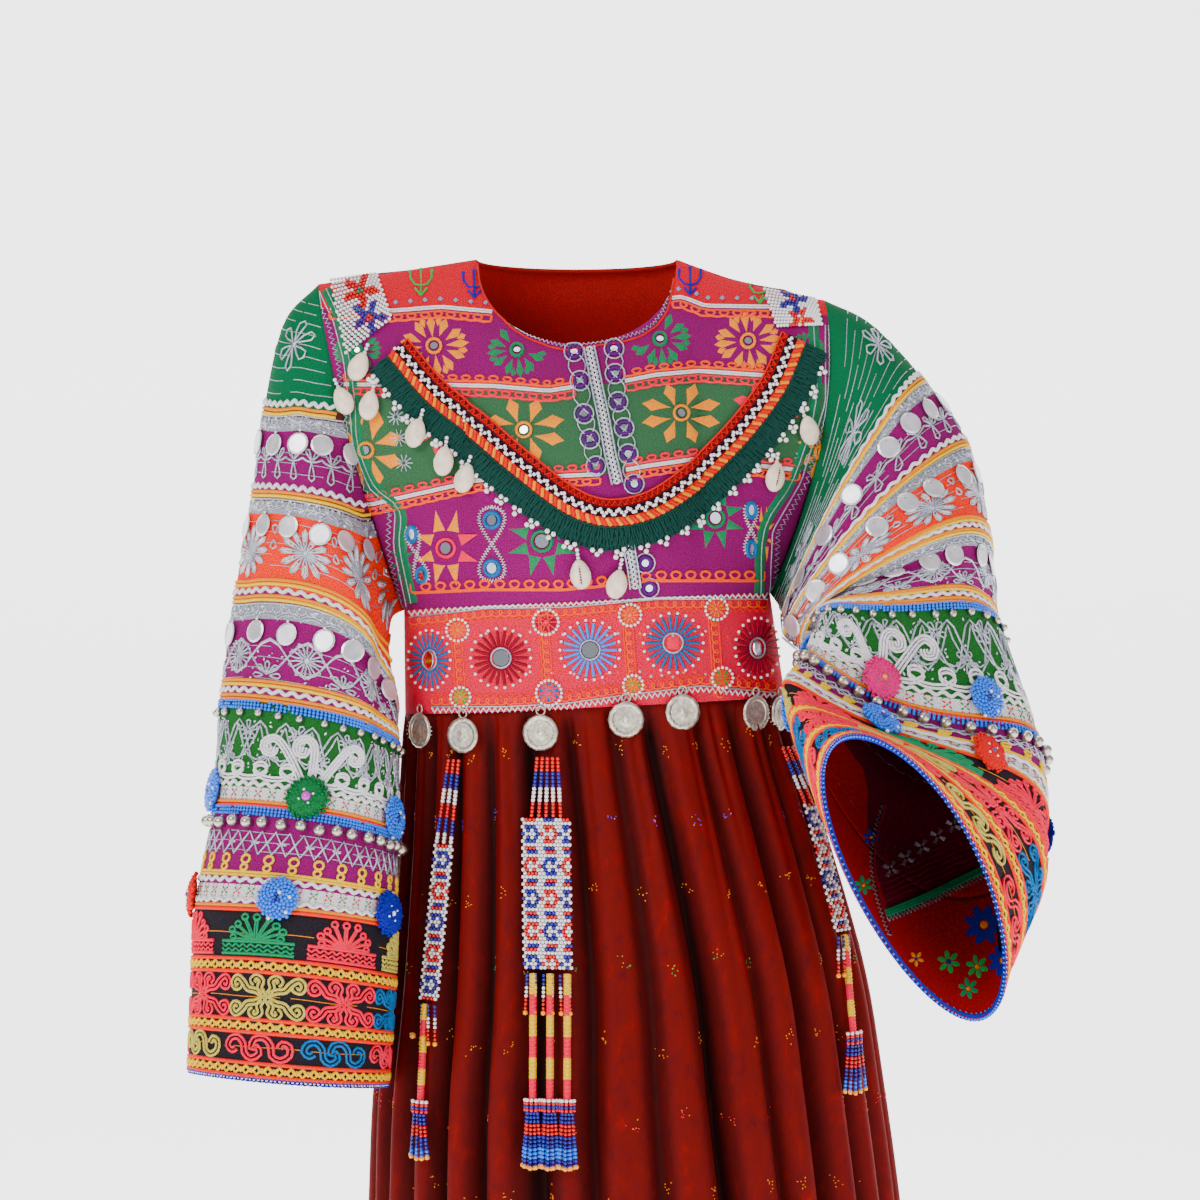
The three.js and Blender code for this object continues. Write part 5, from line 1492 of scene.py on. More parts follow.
def scrollBlock(region, spot, dye):
    doubleCord(region, dye, placer(region, spot, 0, (1.12, 1.12))(scrollRow), 1.9, 1.35)


def treeMotif(region, spot, dye, width=31.0, height=33.0):
    place = placer(region, spot)
    for drop in (14.5, 10.5):
        wave = [(x, drop + 1.4 * math.cos(x * 0.9)) for x in np.arange(-width, width + 0.1, 1.75)]
        sew(region, dye, 1.2, place(wave), 0.6)
    for drop in (17.6, 7):
        sew(region, dye, 1.5, place([(x, drop) for x in np.linspace(-width, width, 15)]), 0.6)
    for ray, angle in enumerate(np.linspace(-1.42, 1.42, 9)):
        reach = height * (0.74 + 0.12 * math.cos(2 * angle)) + (2.5 if ray % 2 else 0)
        tip = np.array([reach * math.sin(angle) * 0.98, 6 - reach * math.cos(angle) * 0.72])
        foot = np.array([2.4 * angle, 6])
        for way in (-0.9, 0.9):
            sew(region, dye, 1.15, place([foot + (way, 0), foot * 0.45 + tip * 0.55 + (way, 0),
                                          tip + (way, 1)]), 0.7)
        bud = placer(region, place(tip))
        sew(region, dye, 1.35, bud(ringLine(2.6, 8)), 0.7)


def teardrops(region, spot, dye, reach, rays, start=0.0, arc=2 * math.pi, width=3.0, inner=3.0, tilt=1.0):
    # looped petals of metal thread round a middle
    for ray in range(rays):
        angle = start + arc * ray / rays
        place = placer(region, spot, angle)
        petal = [(inner, 0), (0.55 * reach, -0.75 * width), (0.85 * reach, -width), (reach, 0),
                 (0.85 * reach, width), (0.55 * reach, 0.75 * width), (inner, 0.2)]
        squeezed = place(petal)
        squeezed[:, 1] = spot[1] + (squeezed[:, 1] - spot[1]) * tilt
        sew(region, dye, 0.95, squeezed, 0.5)


def flecks(region, start, end, count, size=1.7, choices=("silver", "silver", "white", "discMetal")):
    # specks of foil and metal thread, scattered through a band
    for _ in range(count):
        spot = (random.uniform(0, fullRound), random.uniform(start, end))
        lay(region, "diamond", random.choice(choices), spot,
            (size * random.uniform(0.6, 1.5), size * random.uniform(0.4, 0.9), 0.9), random.uniform(0, 3.1),
            lift=0.3)


def lace(region, start, end):
    # metal lace: a straight top edge, glittering body and a scalloped lower edge
    sewCord(region, "silver", 1.0, around(start + 1), step=9)
    sewLoops(region, "silver", 0.8, around((start + end) / 2 - 2), 7.0, 6.0, curl=0.5, detail=6)
    for rise, radius in ((3, 0.8), (5.5, 0.7)):
        sewLoops(region, "silver", radius, around(end - rise), 19.0, 5.0, curl=-0.35, detail=10)
    flecks(region, start + 1, end - 3, 240)


def rickrack(region, band, width=1.9, pitch=10.6):
    sewLoops(region, "white", width, around(band), pitch, 3.2, curl=0.0, detail=6, lift=0.4)


def yellowCords(region, band, dyesUsed=("gold", "yellow")):
    for aside, dye in zip((-1.7, 1.7), dyesUsed):
        sewCord(region, dye, 1.6, around(band + aside), step=9, lift=0.5)


def discRow(region, band, pitch=29.0):
    for centre in spread(int(fullRound / pitch)):
        place = (centre + random.uniform(-5, 5), band + random.uniform(-1.5, 1.5))
        lean = random.uniform(-0.16, 0.16)
        lay(region, "disc", "discMetal", place, (9.9, 9.9, 0.7), lift=2.4, lean=lean)
        lay(region, "stub", "brown", (place[0], place[1] - 8.4), (0.6, 0.6, 0.3), lift=2.95, lean=lean)
        lay(region, "seed", "whiteBead", (place[0], place[1] - 11), (1.4,) * 3, lift=1.8)


def beadBand(region, band, rows=3):
    for row in range(rows):
        beadRow(region, "blueBead", 1.75, around(band + (row - rows / 2 + 0.5) * 2.9), 3.2, skip=0.04)


def bellRow(region, band, size, pitch):
    for centre in spread(int(fullRound / pitch)):
        spot = (centre + random.uniform(-1.5, 1.5), band + random.uniform(-1, 1))
        lay(region, "ball", "bellMetal", spot, (size, size * 0.94, size), lift=size * 0.85)
        lay(region, "seed", "bellMetal", (spot[0], spot[1] - size), (1.2,) * 3, lift=size * 0.7)
        # painted shade: a dark brown lozenge stands for the bell's slot, where the hollow inside lies in
        # shade
        lay(region, "lozenge", "brown", (spot[0], spot[1] + 0.35 * size), (0.62 * size, 0.1 * size, 0.3),
            lift=1.62 * size)


def crossTrim(region, band, pitch=12.5):
    for index, centre in enumerate(spread(int(round(fullRound / pitch)))):
        dye = "red" if index % 2 else "cordGreen"
        other = "cordGreen" if index % 2 else "red"
        for angle in turnsOf(4, math.pi / 4):
            spot = polar(3.0, angle) + (centre, band)
            lay(region, "diamond", dye, spot, (1.9, 0.9, 0.7), angle, rigid=False, lift=0.2)
        lay(region, "diamond", other, (centre, band), (1.0, 1.0, 0.8), rigid=False, lift=0.2)
        for aside in (-2.4, 2.4):
            for drop in (-5.0, 5.0):
                corner = (centre + aside, band + drop)
                lay(region, "diamond", other, corner, (0.8, 0.8, 0.5), rigid=False, lift=0.2)


def stitchLines(region, start, end, gap, dye="silver"):
    # straight running lines of fine metal thread, broken here and there
    band = start
    while band < end:
        place = 0.0
        while place < fullRound:
            length = random.uniform(25, 70)
            stop = min(fullRound, place + length)
            line = [(x, band + 0.5 * math.sin(x * 0.09)) for x in np.arange(place, stop, 8.0)]
            if len(line) > 2:
                sew(region, dye, 0.38, line, 0.15)
            place = stop + random.uniform(2, 14)
        band += gap


def palmette(region, spot):
    # three stems of triple white cord that rise from a pompom and curl over
    stems = [
        [(-6, -8), (-16, -25), (-28, -42), (-36, -47), (-43, -42), (-41, -35), (-35, -34), (-34, -39)],
        [(0, -8), (-1, -28), (-3, -44), (-9, -50), (-16, -46), (-16, -38), (-10, -36), (-9, -42)],
        [(6, -8), (14, -26), (24, -44), (33, -50), (40, -45), (38, -37), (31, -37), (32, -43)],
    ]
    for stem in stems:
        line = smoothLine(stem, 3)
        for way in (-2.5, 0, 2.5):
            sew(region, "white", 1.35, placer(region, spot)(line + way * normalsOf(line)), 0.9)


def dressSleeve(side):
    region = side
    # upper green with flowers and running lines
    stitchLines(region, 22, 100, 9.5)
    for index, centre in enumerate(spread(7, 0.62)):
        spot = (centre, 66 + (6 if index % 2 else -6))
        teardrops(region, spot, "silver", 21, 6, start=0.5, width=4.2)
        lay(region, "round", "silver", spot, (3.4, 3.4, 1.2), rigid=False)
    rickrack(region, 106)
    yellowCords(region, 112.5)
    lace(region, 115, 129)
    discRow(region, 140)
    # purple with a line of loops hanging from a silver stem
    sewLoops(region, "silver", 1.1, around(152), 21.0, 3.0, curl=0.2, detail=6)
    for index in range(int(fullRound / 21)):
        spot = (21 * (index + 0.5), 153)
        teardrops(region, spot, "silver", 16, 1, start=math.pi / 2 + random.uniform(-0.3, 0.3), width=3.4,
                  inner=1)
        teardrops(region, spot, "silver", 12, 2, start=-math.pi / 2 - 0.6, arc=2.4, width=2.0, inner=1)
    stitchLines(region, 147, 172, 8.5)
    rickrack(region, 176)
    yellowCords(region, 182.5)
    lace(region, 186, 200)
    discRow(region, 211)
    # orange with twelve-petalled silver flowers
    stitchLines(region, 206, 256, 10)
    for centre in spread(8, 0.4):
        teardrops(region, (centre, 232), "silver", 25, 12, width=2.6, tilt=0.9)
        teardrops(region, (centre, 232), "white", 23, 12, width=1.1, inner=14, tilt=0.9)
        lay(region, "round", "silver", (centre, 232), (4, 4, 1.4), rigid=False)
        teardrops(region, (centre + fullRound / 16, 220), "silver", 11, 2, start=-math.pi / 2, width=3.0)
    yellowCords(region, 260)
    rickrack(region, 267)
    yellowCords(region, 274)
    lace(region, 278, 294)
    discRow(region, 304)
    # purple lattice with half flowers
    for phase in (0, math.pi):
        sewLoops(region, "silver", 1.1, around(324), 63.0, 30.0, curl=0.0, detail=8, phase=phase)
        sewLoops(region, "white", 0.6, around(324), 63.0, 27.0, curl=0.0, detail=8, phase=phase)
    for centre in spread(8):
        teardrops(region, (centre, 324), "silver", 15, 9, width=2.4)
        teardrops(region, (centre - fullRound / 16, 340), "silver", 12, 5, start=math.pi, arc=math.pi * 1.25,
                  width=2.0)
        lay(region, "round", "silver", (centre, 324), (3.4, 3.4, 1.2), rigid=False)
    flecks(region, 312, 344, 150, 1.2)
    stitchLines(region, 316, 344, 9)
    yellowCords(region, 347)
    rickrack(region, 353.5)
    yellowCords(region, 360, ("gold", "gold"))
    beadBand(region, 366, 3)
    bellRow(region, 374, 3.5, 17)
    # dark green with silver couching, white scrolls and palmettes
    for phase in (0, math.pi):
        sewLoops(region, "silver", 1.2, around(398), 42.0, 38.0, curl=0.0, detail=8, phase=phase)
        sewLoops(region, "silver", 1.0, around(398), 42.0, 30.0, curl=0.25, detail=10, phase=phase)
    for index, centre in enumerate(spread(24)):
        spot = (centre, 398 + (12 if index % 2 else -10))
        teardrops(region, spot, "silver", 9, 5, start=random.uniform(0, 1), width=2.0, inner=1)
    flecks(region, 378, 428, 330, 1.5)
    for aside in (-1.5, 1.5):
        sewLoops(region, "white", 1.35, around(423 + aside), 23.0, 13.0, curl=0.95, detail=14, lift=0.8)
    for turn in {"right": (80, 224), "left": (100, 258)}[side]:
        palmette(region, (math.radians(turn) * sleeve["radius"], 440))
    rickrack(region, 434.5)
    crossTrim(region, 443)
    yellowCords(region, 452, ("gold", "orange"))
    beadBand(region, 458, 3)
    bellRow(region, 469, 5.3, 14.5)
    # purple with silver diamonds and yellow figures
    for phase in (0, math.pi):
        sewLoops(region, "silver", 1.1, around(485), 23.0, 20.0, curl=0.0, detail=4, phase=phase)
    for index in range(int(fullRound / 23)):
        lay(region, "lozenge", "silver", (23 * (index + 0.25), 485), (4.2, 1.6, 1.0), rigid=False)
    stitchLines(region, 476, 498, 8)
    for centre in spread(int(fullRound / 20)):
        for drop, size in ((0, 3.7), (7.4, 2.9)):
            sew(region, "yellow", 1.35, placer(region, (centre, 499.5 + drop))(ringLine(size, 9)), 0.6)
    for aside in (-1.3, 1.3):
        sewCord(region, "yellow", 1.3, around(512.5 + aside), step=9, lift=0.5)
    rickrack(region, 518, 1.8)
    crossTrim(region, 528)
    rickrack(region, 537, 1.8)
    yellowCords(region, 543, ("gold", "orange"))
    sewAll(region, side + "SleeveThreads")
    layAll(region, side + "SleeveMetal")

    # black cuff with couched trees and scrolls between braids
    cords = ("cordPink", "khaki", "cordPink", "teal")
    trees = ("cordGreen", "cordPink", "khaki", "cordPink", "cordGreen", "khaki", "cordPink")
    for index in range(7):
        treeMotif(region, ((92 + index * fullRound / 7) % fullRound, 565.5), trees[index])
    for index in range(8):
        scrollSquare(region, (40 + index * fullRound / 8, 620), cords[index % 4])
        scrollBlock(region, (36 + index * fullRound / 8, 665), cords[(index + 1) % 4])
    for band in (593, 646, 684):
        for aside in (-5.6, 5.6):
            sewCord(region, "orange", 1.7, around(band + aside), step=9, lift=0.7)
        sewLoops(region, "yellow", 1.5, around(band - 0.8), 9.0, 5.0, curl=0.0, detail=4, lift=0.8)
        sewLoops(region, "yellow", 1.2, around(band + 1.2), 9.0, 5.0, curl=0.0, detail=4, lift=0.8,
                 phase=math.pi)
    for band in (565, 620, 664):
        stitchLines(region, band, band + 1, 9, "gold")
    for row, dye in ((0, "navyBead"), (1, "whiteBead"), (2, "blueBead")):
        beadRow(region, dye, 1.35, around(691 + row * 1.2), 3.4, lift=0.9 - row * 0.8)
    sewLoops(region, "navy", 0.8, around(692.4), 5.0, 3.4, curl=0.8, detail=6)
    sewAll(region, side + "CuffThreads")
    layAll(region, side + "CuffBeads")


for side in ("right", "left"):
    dressSleeve(side)
    print(side, "sleeve ready")

# Yoke trim: red and black edging, white bead zigzag, slanting stripes and green wool with bead clusters
yokeLine = np.array([(-161, -72), (-127, -111), (-91, -140), (-54, -173), (-7, -208), (28, -217), (71, -205),
                     (125, -160), (169, -106), (190, -61)], float)
yokeReach = np.concatenate([[0], np.cumsum(np.linalg.norm(np.diff(yokeLine, axis=0), axis=1))])


def planOf(points):
    return points[..., [0, 2]]


# places across and up in the front plane, laid onto the bodice
frontPlace = viewPlacer(bodiceFront, (-190, 0), (390, -290), 0.05, planOf)


def onYoke(spots, lift):
    here = throughRows(yokeReach, yokeLine, spots[..., 0])
    ahead = (throughRows(yokeReach, yokeLine, spots[..., 0] + 1)
             - throughRows(yokeReach, yokeLine, spots[..., 0] - 1))
    ahead = ahead / np.linalg.norm(ahead, axis=-1, keepdims=True)
    beside = np.stack([ahead[..., 1], -ahead[..., 0]], axis=-1)
    return frontPlace(here + beside * spots[..., 1:2], lift)


def faceDepth(x, z):
    # how far forward the waistband and the skirt's fold tops lie, without the folds
    level = z - waistBottom[4] * (x - waistBottom[1])
    down = (waistTop[0] - level) / (waistTop[0] - waistBottom[0])
    band = np.array(waistTop) + (np.array(waistBottom) - np.array(waistTop)) * down[..., None]
    low = throughRows(-skirtSections[:, 0], skirtSections, -z)
    isBand = level > waistBottom[0]
    section = np.where(isBand[..., None], band, low)
    power = np.where(isBand, rounding["waist"], rounding["skirt"])
    share = np.minimum(np.abs(x - section[..., 1]) / section[..., 2], 0.99)
    return -section[..., 3] * (1 - share ** power) ** (1 / power)


def onFront(spots, lift):
    # places across and down in the front plane, where coins and tassels hang in front of the folds
    spots = np.asarray(spots, float)
    x = spots[..., 0]
    z = -spots[..., 1]
    slope = faceDepth(x + 0.5, z) - faceDepth(x - 0.5, z)
    normal = np.stack([slope, -np.ones_like(slope), np.zeros_like(slope)], axis=-1)
    normal = normal / np.linalg.norm(normal, axis=-1, keepdims=True)
    here = np.stack([x, faceDepth(x, z), z], axis=-1)
    return here + normal * np.broadcast_to(np.asarray(lift, float), x.shape)[..., None], normal


skirtSpots = {"across": 900, "top": 373, "drop": 882}


def onSkirtCloth(side):
    def place(across, down):
        return skirtPoint(across, skirt["top"] + (skirt["hem"] - skirt["top"]) * down, side)

    def at(spots, lift):
        down = (spots[..., 1] - skirtSpots["top"]) / skirtSpots["drop"]
        return lifted(place, spots[..., 0] / skirtSpots["across"], down, lift, side)
    return at


def insideLeft(spots, lift):
    points, normal = onSleeve("left", spots[..., 0], spots[..., 1], -(np.asarray(lift, float) + 1.5))
    return points, -normal


# The inner face of the open left cuff, found again from the front view
cuffDepth = 300
facingView = 0.02
seenTurns, seenAlongs = np.meshgrid(np.linspace(0, 1, 181), np.linspace(0, 1, 80))


def cuffPlace(turned, down):
    return onSleeve("left", turned * fullRound, sleeve["hem"] - cuffDepth * (1 - down))[0]


def cuffShares(spots):
    # the place round and along the open left cuff whose inner face shows at a place of the front view
    points, normal = onSleeve("left", seenTurns * fullRound, sleeve["hem"] - cuffDepth * (1 - seenAlongs))
    faced = normal[..., 1] > facingView
    flat = pixelOf(points)[faced]
    near = np.argmin(np.linalg.norm(spots[:, None] - flat[None], axis=-1), axis=1)
    guess = np.stack([seenTurns[faced][near], seenAlongs[faced][near]], axis=-1)
    return sharesAt(cuffPlace, spots, guess)


def insideView(spots, lift):
    shares = cuffShares(np.asarray(spots, float))
    band = sleeve["hem"] - cuffDepth * (1 - shares[..., 1])
    return insideLeft(np.stack([shares[..., 0] * fullRound, band], axis=-1), lift)


for name, at, flip in (
        ("yoke", onYoke, 1), ("front", onFront, 1), ("skirtFront", onSkirtCloth(-1), 1),
        ("skirtBack", onSkirtCloth(1), -1), ("inside", insideLeft, 1)):
    regions[name] = {"at": at, "unit": 1, "flip": flip}
regions["cuffView"] = {"at": insideView, "unit": pixelScale, "flip": 1}
yokeEnd = float(yokeReach[-1])
yokePath = [(step, 0.0) for step in np.arange(0, yokeEnd, 4.0)] + [(yokeEnd, 0.0)]
yokeBands = [(0, "edgeRed"), (7, "edgeBlack"), (14.5, "orange"), (22, "woolGreen")]
yokeEdges = (-18, 24)
yokeCloth = bandMaterial("yokeTrimCloth", yokeBands, 44, grain=1500, fade=0.3)
trim = ribbon("yokeTrimBase", "yoke", yokePath, *yokeEdges, yokeCloth, "wool", lift=2.4, dome=1.0, columns=14)
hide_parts("yoke_trim")
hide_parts("yoke_fringe")
for index in range(int(yokeEnd / 6.4)):
    place = 6.4 * (index + 0.5)
    lay("yoke", "triangle", "edgeBlack", (place, -14.6), (2.6, 2.0, 1.0), -math.pi / 2, lift=3.2, rigid=False)
sewZigzag("yoke", "edgeRed", 0.9, yokePath, 6.4, 4.6, aside=-14.6, lift=3.6)
sewCord("yoke", "red", 1.0, yokePath, aside=yokeEdges[0], lift=2.8)
sewCord("yoke", "edgeBlack", 0.8, yokePath, aside=-11.2, lift=3.4)
for index in range(int(yokeEnd / 2.0)):
    phase = (index * 2.0 / 9.0) % 1
    aside = -7.3 + 5.6 * (abs(2 * phase - 1) - 0.5)
    lay("yoke", "seed", "whiteBead", (index * 2.0, aside), (1.75,) * 3, lift=4.6)
for index in range(int(yokeEnd / 4.3)):
    place = 4.3 * (index + 0.5)
    stripe = [(place - 2, -2.6), (place, 0.4), (place + 2.2, 3.4)]
    sew("yoke", "gold" if index % 2 else "red", 2.0, stripe, 3.7)
sewCord("yoke", "woolGreen", 1.2, yokePath, aside=5.2, lift=3.6)
for row, (low, high) in enumerate(((6, 15), (12, 20.5), (17, 24.5))):
    place = 1.0
    while place < yokeEnd - 1:
        sway = random.uniform(-1.6, 1.6)
        sew("yoke", "woolGreen", 1.05, [(place, low + random.uniform(-1, 1)),
                                        (place + 0.5 * sway, 0.5 * (low + high)),
                                        (place + sway, high + random.uniform(-1.2, 1.2))], 3.9 - 0.35 * row)
        place += random.uniform(1.5, 2.1)
for index in range(int(yokeEnd / 15)):
    place = 15 * (index + 0.5) + random.uniform(-2, 2)
    for along, aside in ((-2.6, 24.5), (2.2, 24.0), (0.4, 28.0), (-3.4, 29.0))[:random.choice((3, 3, 4))]:
        lay("yoke", "seed", "whiteBead", (place + along, aside + random.uniform(-0.6, 0.6)), (2.5,) * 3,
            lift=2.9)
sewAll("yoke", "yokeTrimThreads")
layAll("yoke", "yokeTrimBeads")
print("yoke ready")

# Shoulder patches: nets of seed beads with small flowers
rightPatch = [(-216, -7), (-177, -1), (-162, -41), (-200, -71)]
leftPatch = [(160, -15), (204, -24), (208, -46), (169, -48)]


def onPlane(spots, lift):
    # places across and down in the front plane, laid onto the bodice
    return frontPlace(np.stack([spots[..., 0], -spots[..., 1]], axis=-1), lift)


regions["plain"] = {"at": onPlane, "unit": 1, "flip": 1}


def petalBead(x, y, petals, size):
    # whether a bead lies in the petals of a flower round 0, 0
    reach = math.hypot(x, y)
    return 0.16 * size < reach < size * (0.62 + 0.38 * math.cos(petals * math.atan2(y, x)))


def beadPatch(name, corners, flowers, node):
    corner = np.array(corners, float)
    columns = int(np.linalg.norm(corner[1] - corner[0]) / 3.1)
    rows = int(np.linalg.norm(corner[2] - corner[1]) / 2.9) + 4
    for row in range(rows + 1):
        for column in range(columns + 1):
            across = (column + (0.5 if row % 2 else 0)) / (columns + 0.5)
            down = row / rows
            spot = ((corner[0] * (1 - across) + corner[1] * across) * (1 - down)
                    + (corner[3] * (1 - across) + corner[2] * across) * down)
            x, y = spot[0], -spot[1]
            dye = "whiteBead"
            for centreX, centreY, size, flowerDye, middleDye in flowers:
                away = (x - centreX, y - centreY)
                if petalBead(away[0], away[1], 5, size):
                    dye = flowerDye
                elif math.hypot(*away) < 0.2 * size:
                    dye = middleDye
            lay("plain", "seed", dye, (x, y), (1.75,) * 3, lift=2.6)
    piece = layAll("plain", name)
    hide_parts(node)


beadPatch("rightShoulderBeads", rightPatch,
          [(-190, 17, 17, "redBead", "greenBead"), (-181, 41, 16, "navyBead", "redBead")],
          "shoulder_patch_right")
beadPatch("leftShoulderBeads", leftPatch,
          [(184, 24, 14, "navyBead", "redBead"), (190, 43, 12, "redBead", "goldBead")], "shoulder_patch_left")

# Cowries, each hung by a few white beads
makeShape("shellBody", buildBall(16, 10))
cowries = [(-188, -84, 20, 1.7), (-200, -112, -25, 1.7), (-178, -117, 10, 1.7), (-137, -142, 15, 3.7),
           (-113, -166, 5, 2.8), (-95, -181, 20, 3.1), (1, -260, -8, 1.7), (31, -268, 12, 1.7),
           (194, -138, -15, 1.7), (164, -178, 10, 1.7)]
openShells = (6, 9)
body, bodyFaces = shapes["shellBody"]
shaped = body.copy()
shaped[:, 0] *= 1 - 0.2 * np.clip(-shaped[:, 1], 0, 1) + 0.05 * shaped[:, 1]
shapes["shellBody"] = (shaped, bodyFaces)
for index, (x, z, lean, lift) in enumerate(cowries):
    turn = math.radians(lean)
    lay("plain", "shellBody", "shell", (x, -z), (9, 13, 5.5), turn, lift=lift + 4.2)
    if index in openShells:
        # painted shade: a thin brown strip stands for the shaded slit of the shell's mouth, with white teeth
        # across it
        lay("plain", "lozenge", "brown", (x, -z), (1.0, 9.0, 0.6), turn, lift=lift + 9.4)
        for tooth in range(-3, 4):
            lay("plain", "lozenge", "shell", (x - 0.6 * math.sin(turn) * tooth, -z + 2.2 * tooth),
                (1.9, 0.5, 1.2), turn, lift=lift + 9.3)
    for step in range(3):
        place = (x + (13 + 3.4 * step) * math.sin(turn), -z - (13 + 3.4 * step) * math.cos(turn))
        lay("plain", "seed", "whiteBead", place, (1.9,) * 3, lift=lift + 2.4)
piece = layAll("plain", "cowrieShells")
for index in range(10):
    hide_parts("cowrie_%02d" % (index + 1))
print("shells ready")

# Coins: worn discs with a raised rim and small dots, each on a ring sewn below the waistband
coinPlaces = [(-134, -394), (-97, -397), (-32, -394), (39, -383), (86, -377), (148, -379), (169, -380)]
makeShape("coinBody", buildDrum(28, 0.97))
for x, z in coinPlaces:
    spot = (x, -z)
    lay("front", "coinBody", "coinMetal", spot, (14.5, 14.5, 1.7), lift=2.0)
    lay("front", "hoop", "coinMetal", spot, (15.4, 15.4, 6.0), lift=3.4)
    for turn in turnsOf(20):
        lay("front", "seed", "coinMetal", polar(10.9, turn) + spot, (0.7,) * 3, lift=3.7)
    lay("front", "round", "coinMetal", spot, (6.2, 7.2, 0.8), lift=3.6)
    lay("front", "lozenge", "coinMetal", (x, -z - 1), (2.4, 4.2, 1.6), 0.3, lift=3.6)
    lay("front", "hoop", "coinMetal", (x, -z - 18.2), (4.4, 4.4, 5.0), lift=3.0)
piece = layAll("front", "waistCoins")
for index in range(7):
    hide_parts("coin_%02d" % (index + 1))

# Bead tassels: strands, a netted strip, wrapped cords and beaded ends
beadStep = 3.1
netStep = 2.9
tassels = [
    {"node": "tassel_right", "top": (-104, 417), "stripTop": (-112, 490), "stripBottom": (-124, 620),
     "width": 16,
     "strands": 3, "cords": (-127,), "lean": -3, "cordTop": 622, "cordBottom": 702, "end": 752, "lift": 3.8},
    {"node": "tassel_centre", "top": (-26, 414), "stripTop": (-27, 466), "stripBottom": (-25, 590),
     "width": 40,
     "strands": 5, "cords": (-37, -23, -9), "lean": 0, "cordTop": 592, "cordBottom": 694, "end": 752,
     "lift": 3.9},
    {"node": "tassel_left", "top": (173, 408), "stripTop": (194, 458), "stripBottom": (220, 566), "width": 14,
     "strands": 3, "cords": (221,), "lean": 6, "cordTop": 568, "cordBottom": 648, "end": 700, "lift": 5.0},
]


def beadLine(start, end, dyesUsed, lift, size=1.75, run=3):
    start = np.asarray(start, float)
    end = np.asarray(end, float)
    count = max(2, int(np.linalg.norm(end - start) / beadStep))
    for index in range(count):
        spot = start + (end - start) * (index + 0.5) / count
        lay("front", "seed", dyesUsed[(index // run) % len(dyesUsed)], spot, (size,) * 3, lift=lift)


def netDye(column, row, columns):
    # white net with a ring of red or blue beads in the middle of each repeat
    wide = 13 if columns > 8 else columns
    centre = (row % 9) - 4
    middle = ((column % wide) - (wide - 1) / 2) if columns <= 8 else ((column % 5) - 2)
    reach = math.hypot(centre, 1.25 * middle)
    ring = "redBead" if ((row // 9) + (column // 5)) % 2 else "navyBead"
    if 1.3 < reach < 2.6:
        return ring
    if abs(centre) == 4 and abs(middle) < 1.5:
        return "navyBead" if ring == "redBead" else "redBead"
    return "whiteBead"


for tassel in tassels:
    top = np.array(tassel["top"], float)
    stripTop = np.array(tassel["stripTop"], float)
    stripBottom = np.array(tassel["stripBottom"], float)
    lift = tassel["lift"]
    for index in range(tassel["strands"]):
        offset = 6.0 * (index - (tassel["strands"] - 1) / 2)
        beadLine(top + (0.7 * offset, 0), stripTop + (offset, -2), ("redBead", "navyBead", "whiteBead"), lift,
                 2.0, 4)
    columns = int(tassel["width"] / netStep)
    rows = int(np.linalg.norm(stripBottom - stripTop) / netStep)
    for row in range(rows):
        for column in range(columns):
            aside = tassel["width"] * ((column + 0.5 + (0.25 if row % 2 else -0.25)) / columns - 0.5)
            spot = stripTop + (stripBottom - stripTop) * row / rows + (aside, 0)
            lay("front", "seed", netDye(column, row, columns), spot, (1.8,) * 3, lift=lift)
    short = max(3, int(tassel["width"] / 6))
    for index in range(short):
        aside = tassel["width"] * ((index + 0.5) / short - 0.5)
        beadLine(stripBottom + (aside, 2), stripBottom + (aside * 1.1, 32),
                 ("navyBead", "whiteBead", "redBead"), lift,
                 1.7, 3)
        lay("front", "seed", "goldBead", stripBottom + (aside * 1.1, 34), (2.4,) * 3, lift=lift)
    for cord in tassel["cords"]:
        start = np.array([cord, tassel["cordTop"]], float)
        end = np.array([cord + tassel["lean"], tassel["cordBottom"]], float)
        parts = 6
        for part in range(parts):
            first = start + (end - start) * part / parts
            last = start + (end - start) * (part + 1) / parts
            sew("front", "cordPink" if part % 2 else "yellow", 3.1, [first, (first + last) / 2, last], lift)
            for wrap in range(5):
                ring = first + (last - first) * (wrap + 0.5) / 5
                lay("front", "round", "cordPink" if part % 2 else "yellow", ring, (3.4, 0.9, 3.2),
                    lift=lift + 0.6)
        for row in range(4):
            for turn in range(5):
                aside = 6.0 * math.cos(math.pi * (turn + 0.5) / 5)
                lay("front", "seed", ("whiteBead", "redBead", "navyBead", "redBead")[row],
                    (end[0] + aside, end[1] + 2.6 * row), (1.9,) * 3,
                    lift=lift + 4 * math.sin(math.pi * (turn + 0.5) / 5))
        for index in range(8):
            share = index / 7 - 0.5
            foot = (end[0] + 16 * share, tassel["end"] - 3 - 5 * abs(share))
            depth = lift + (2.6 if index % 2 else 0)
            beadLine((end[0] + 9 * share, end[1] + 9), foot, ("navyBead", "redBead", "navyBead", "blueBead"),
                     depth, 1.7, 3)
            lay("front", "seed", "goldBead", foot, (2.3,) * 3, lift=depth)
lay("front", "seed", "goldBead", (-137, 649), (3.2,) * 3, lift=4)
sewAll("front", "tasselCords")
piece = layAll("front", "tasselBeads")
for tassel in tassels:
    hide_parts(tassel["node"])
print("tassels ready")


# Pompoms: yarn discs and bead discs, each where its packed disc lies
def nodeDisc(name):
    node = bpy.data.objects[name]
    points = np.array([(node.matrix_world @ vert.co)[:] for vert in node.data.vertices]) / mm
    middle = points.mean(axis=0)
    _, _, axes = np.linalg.svd(points - middle)
    return middle, axes[2]


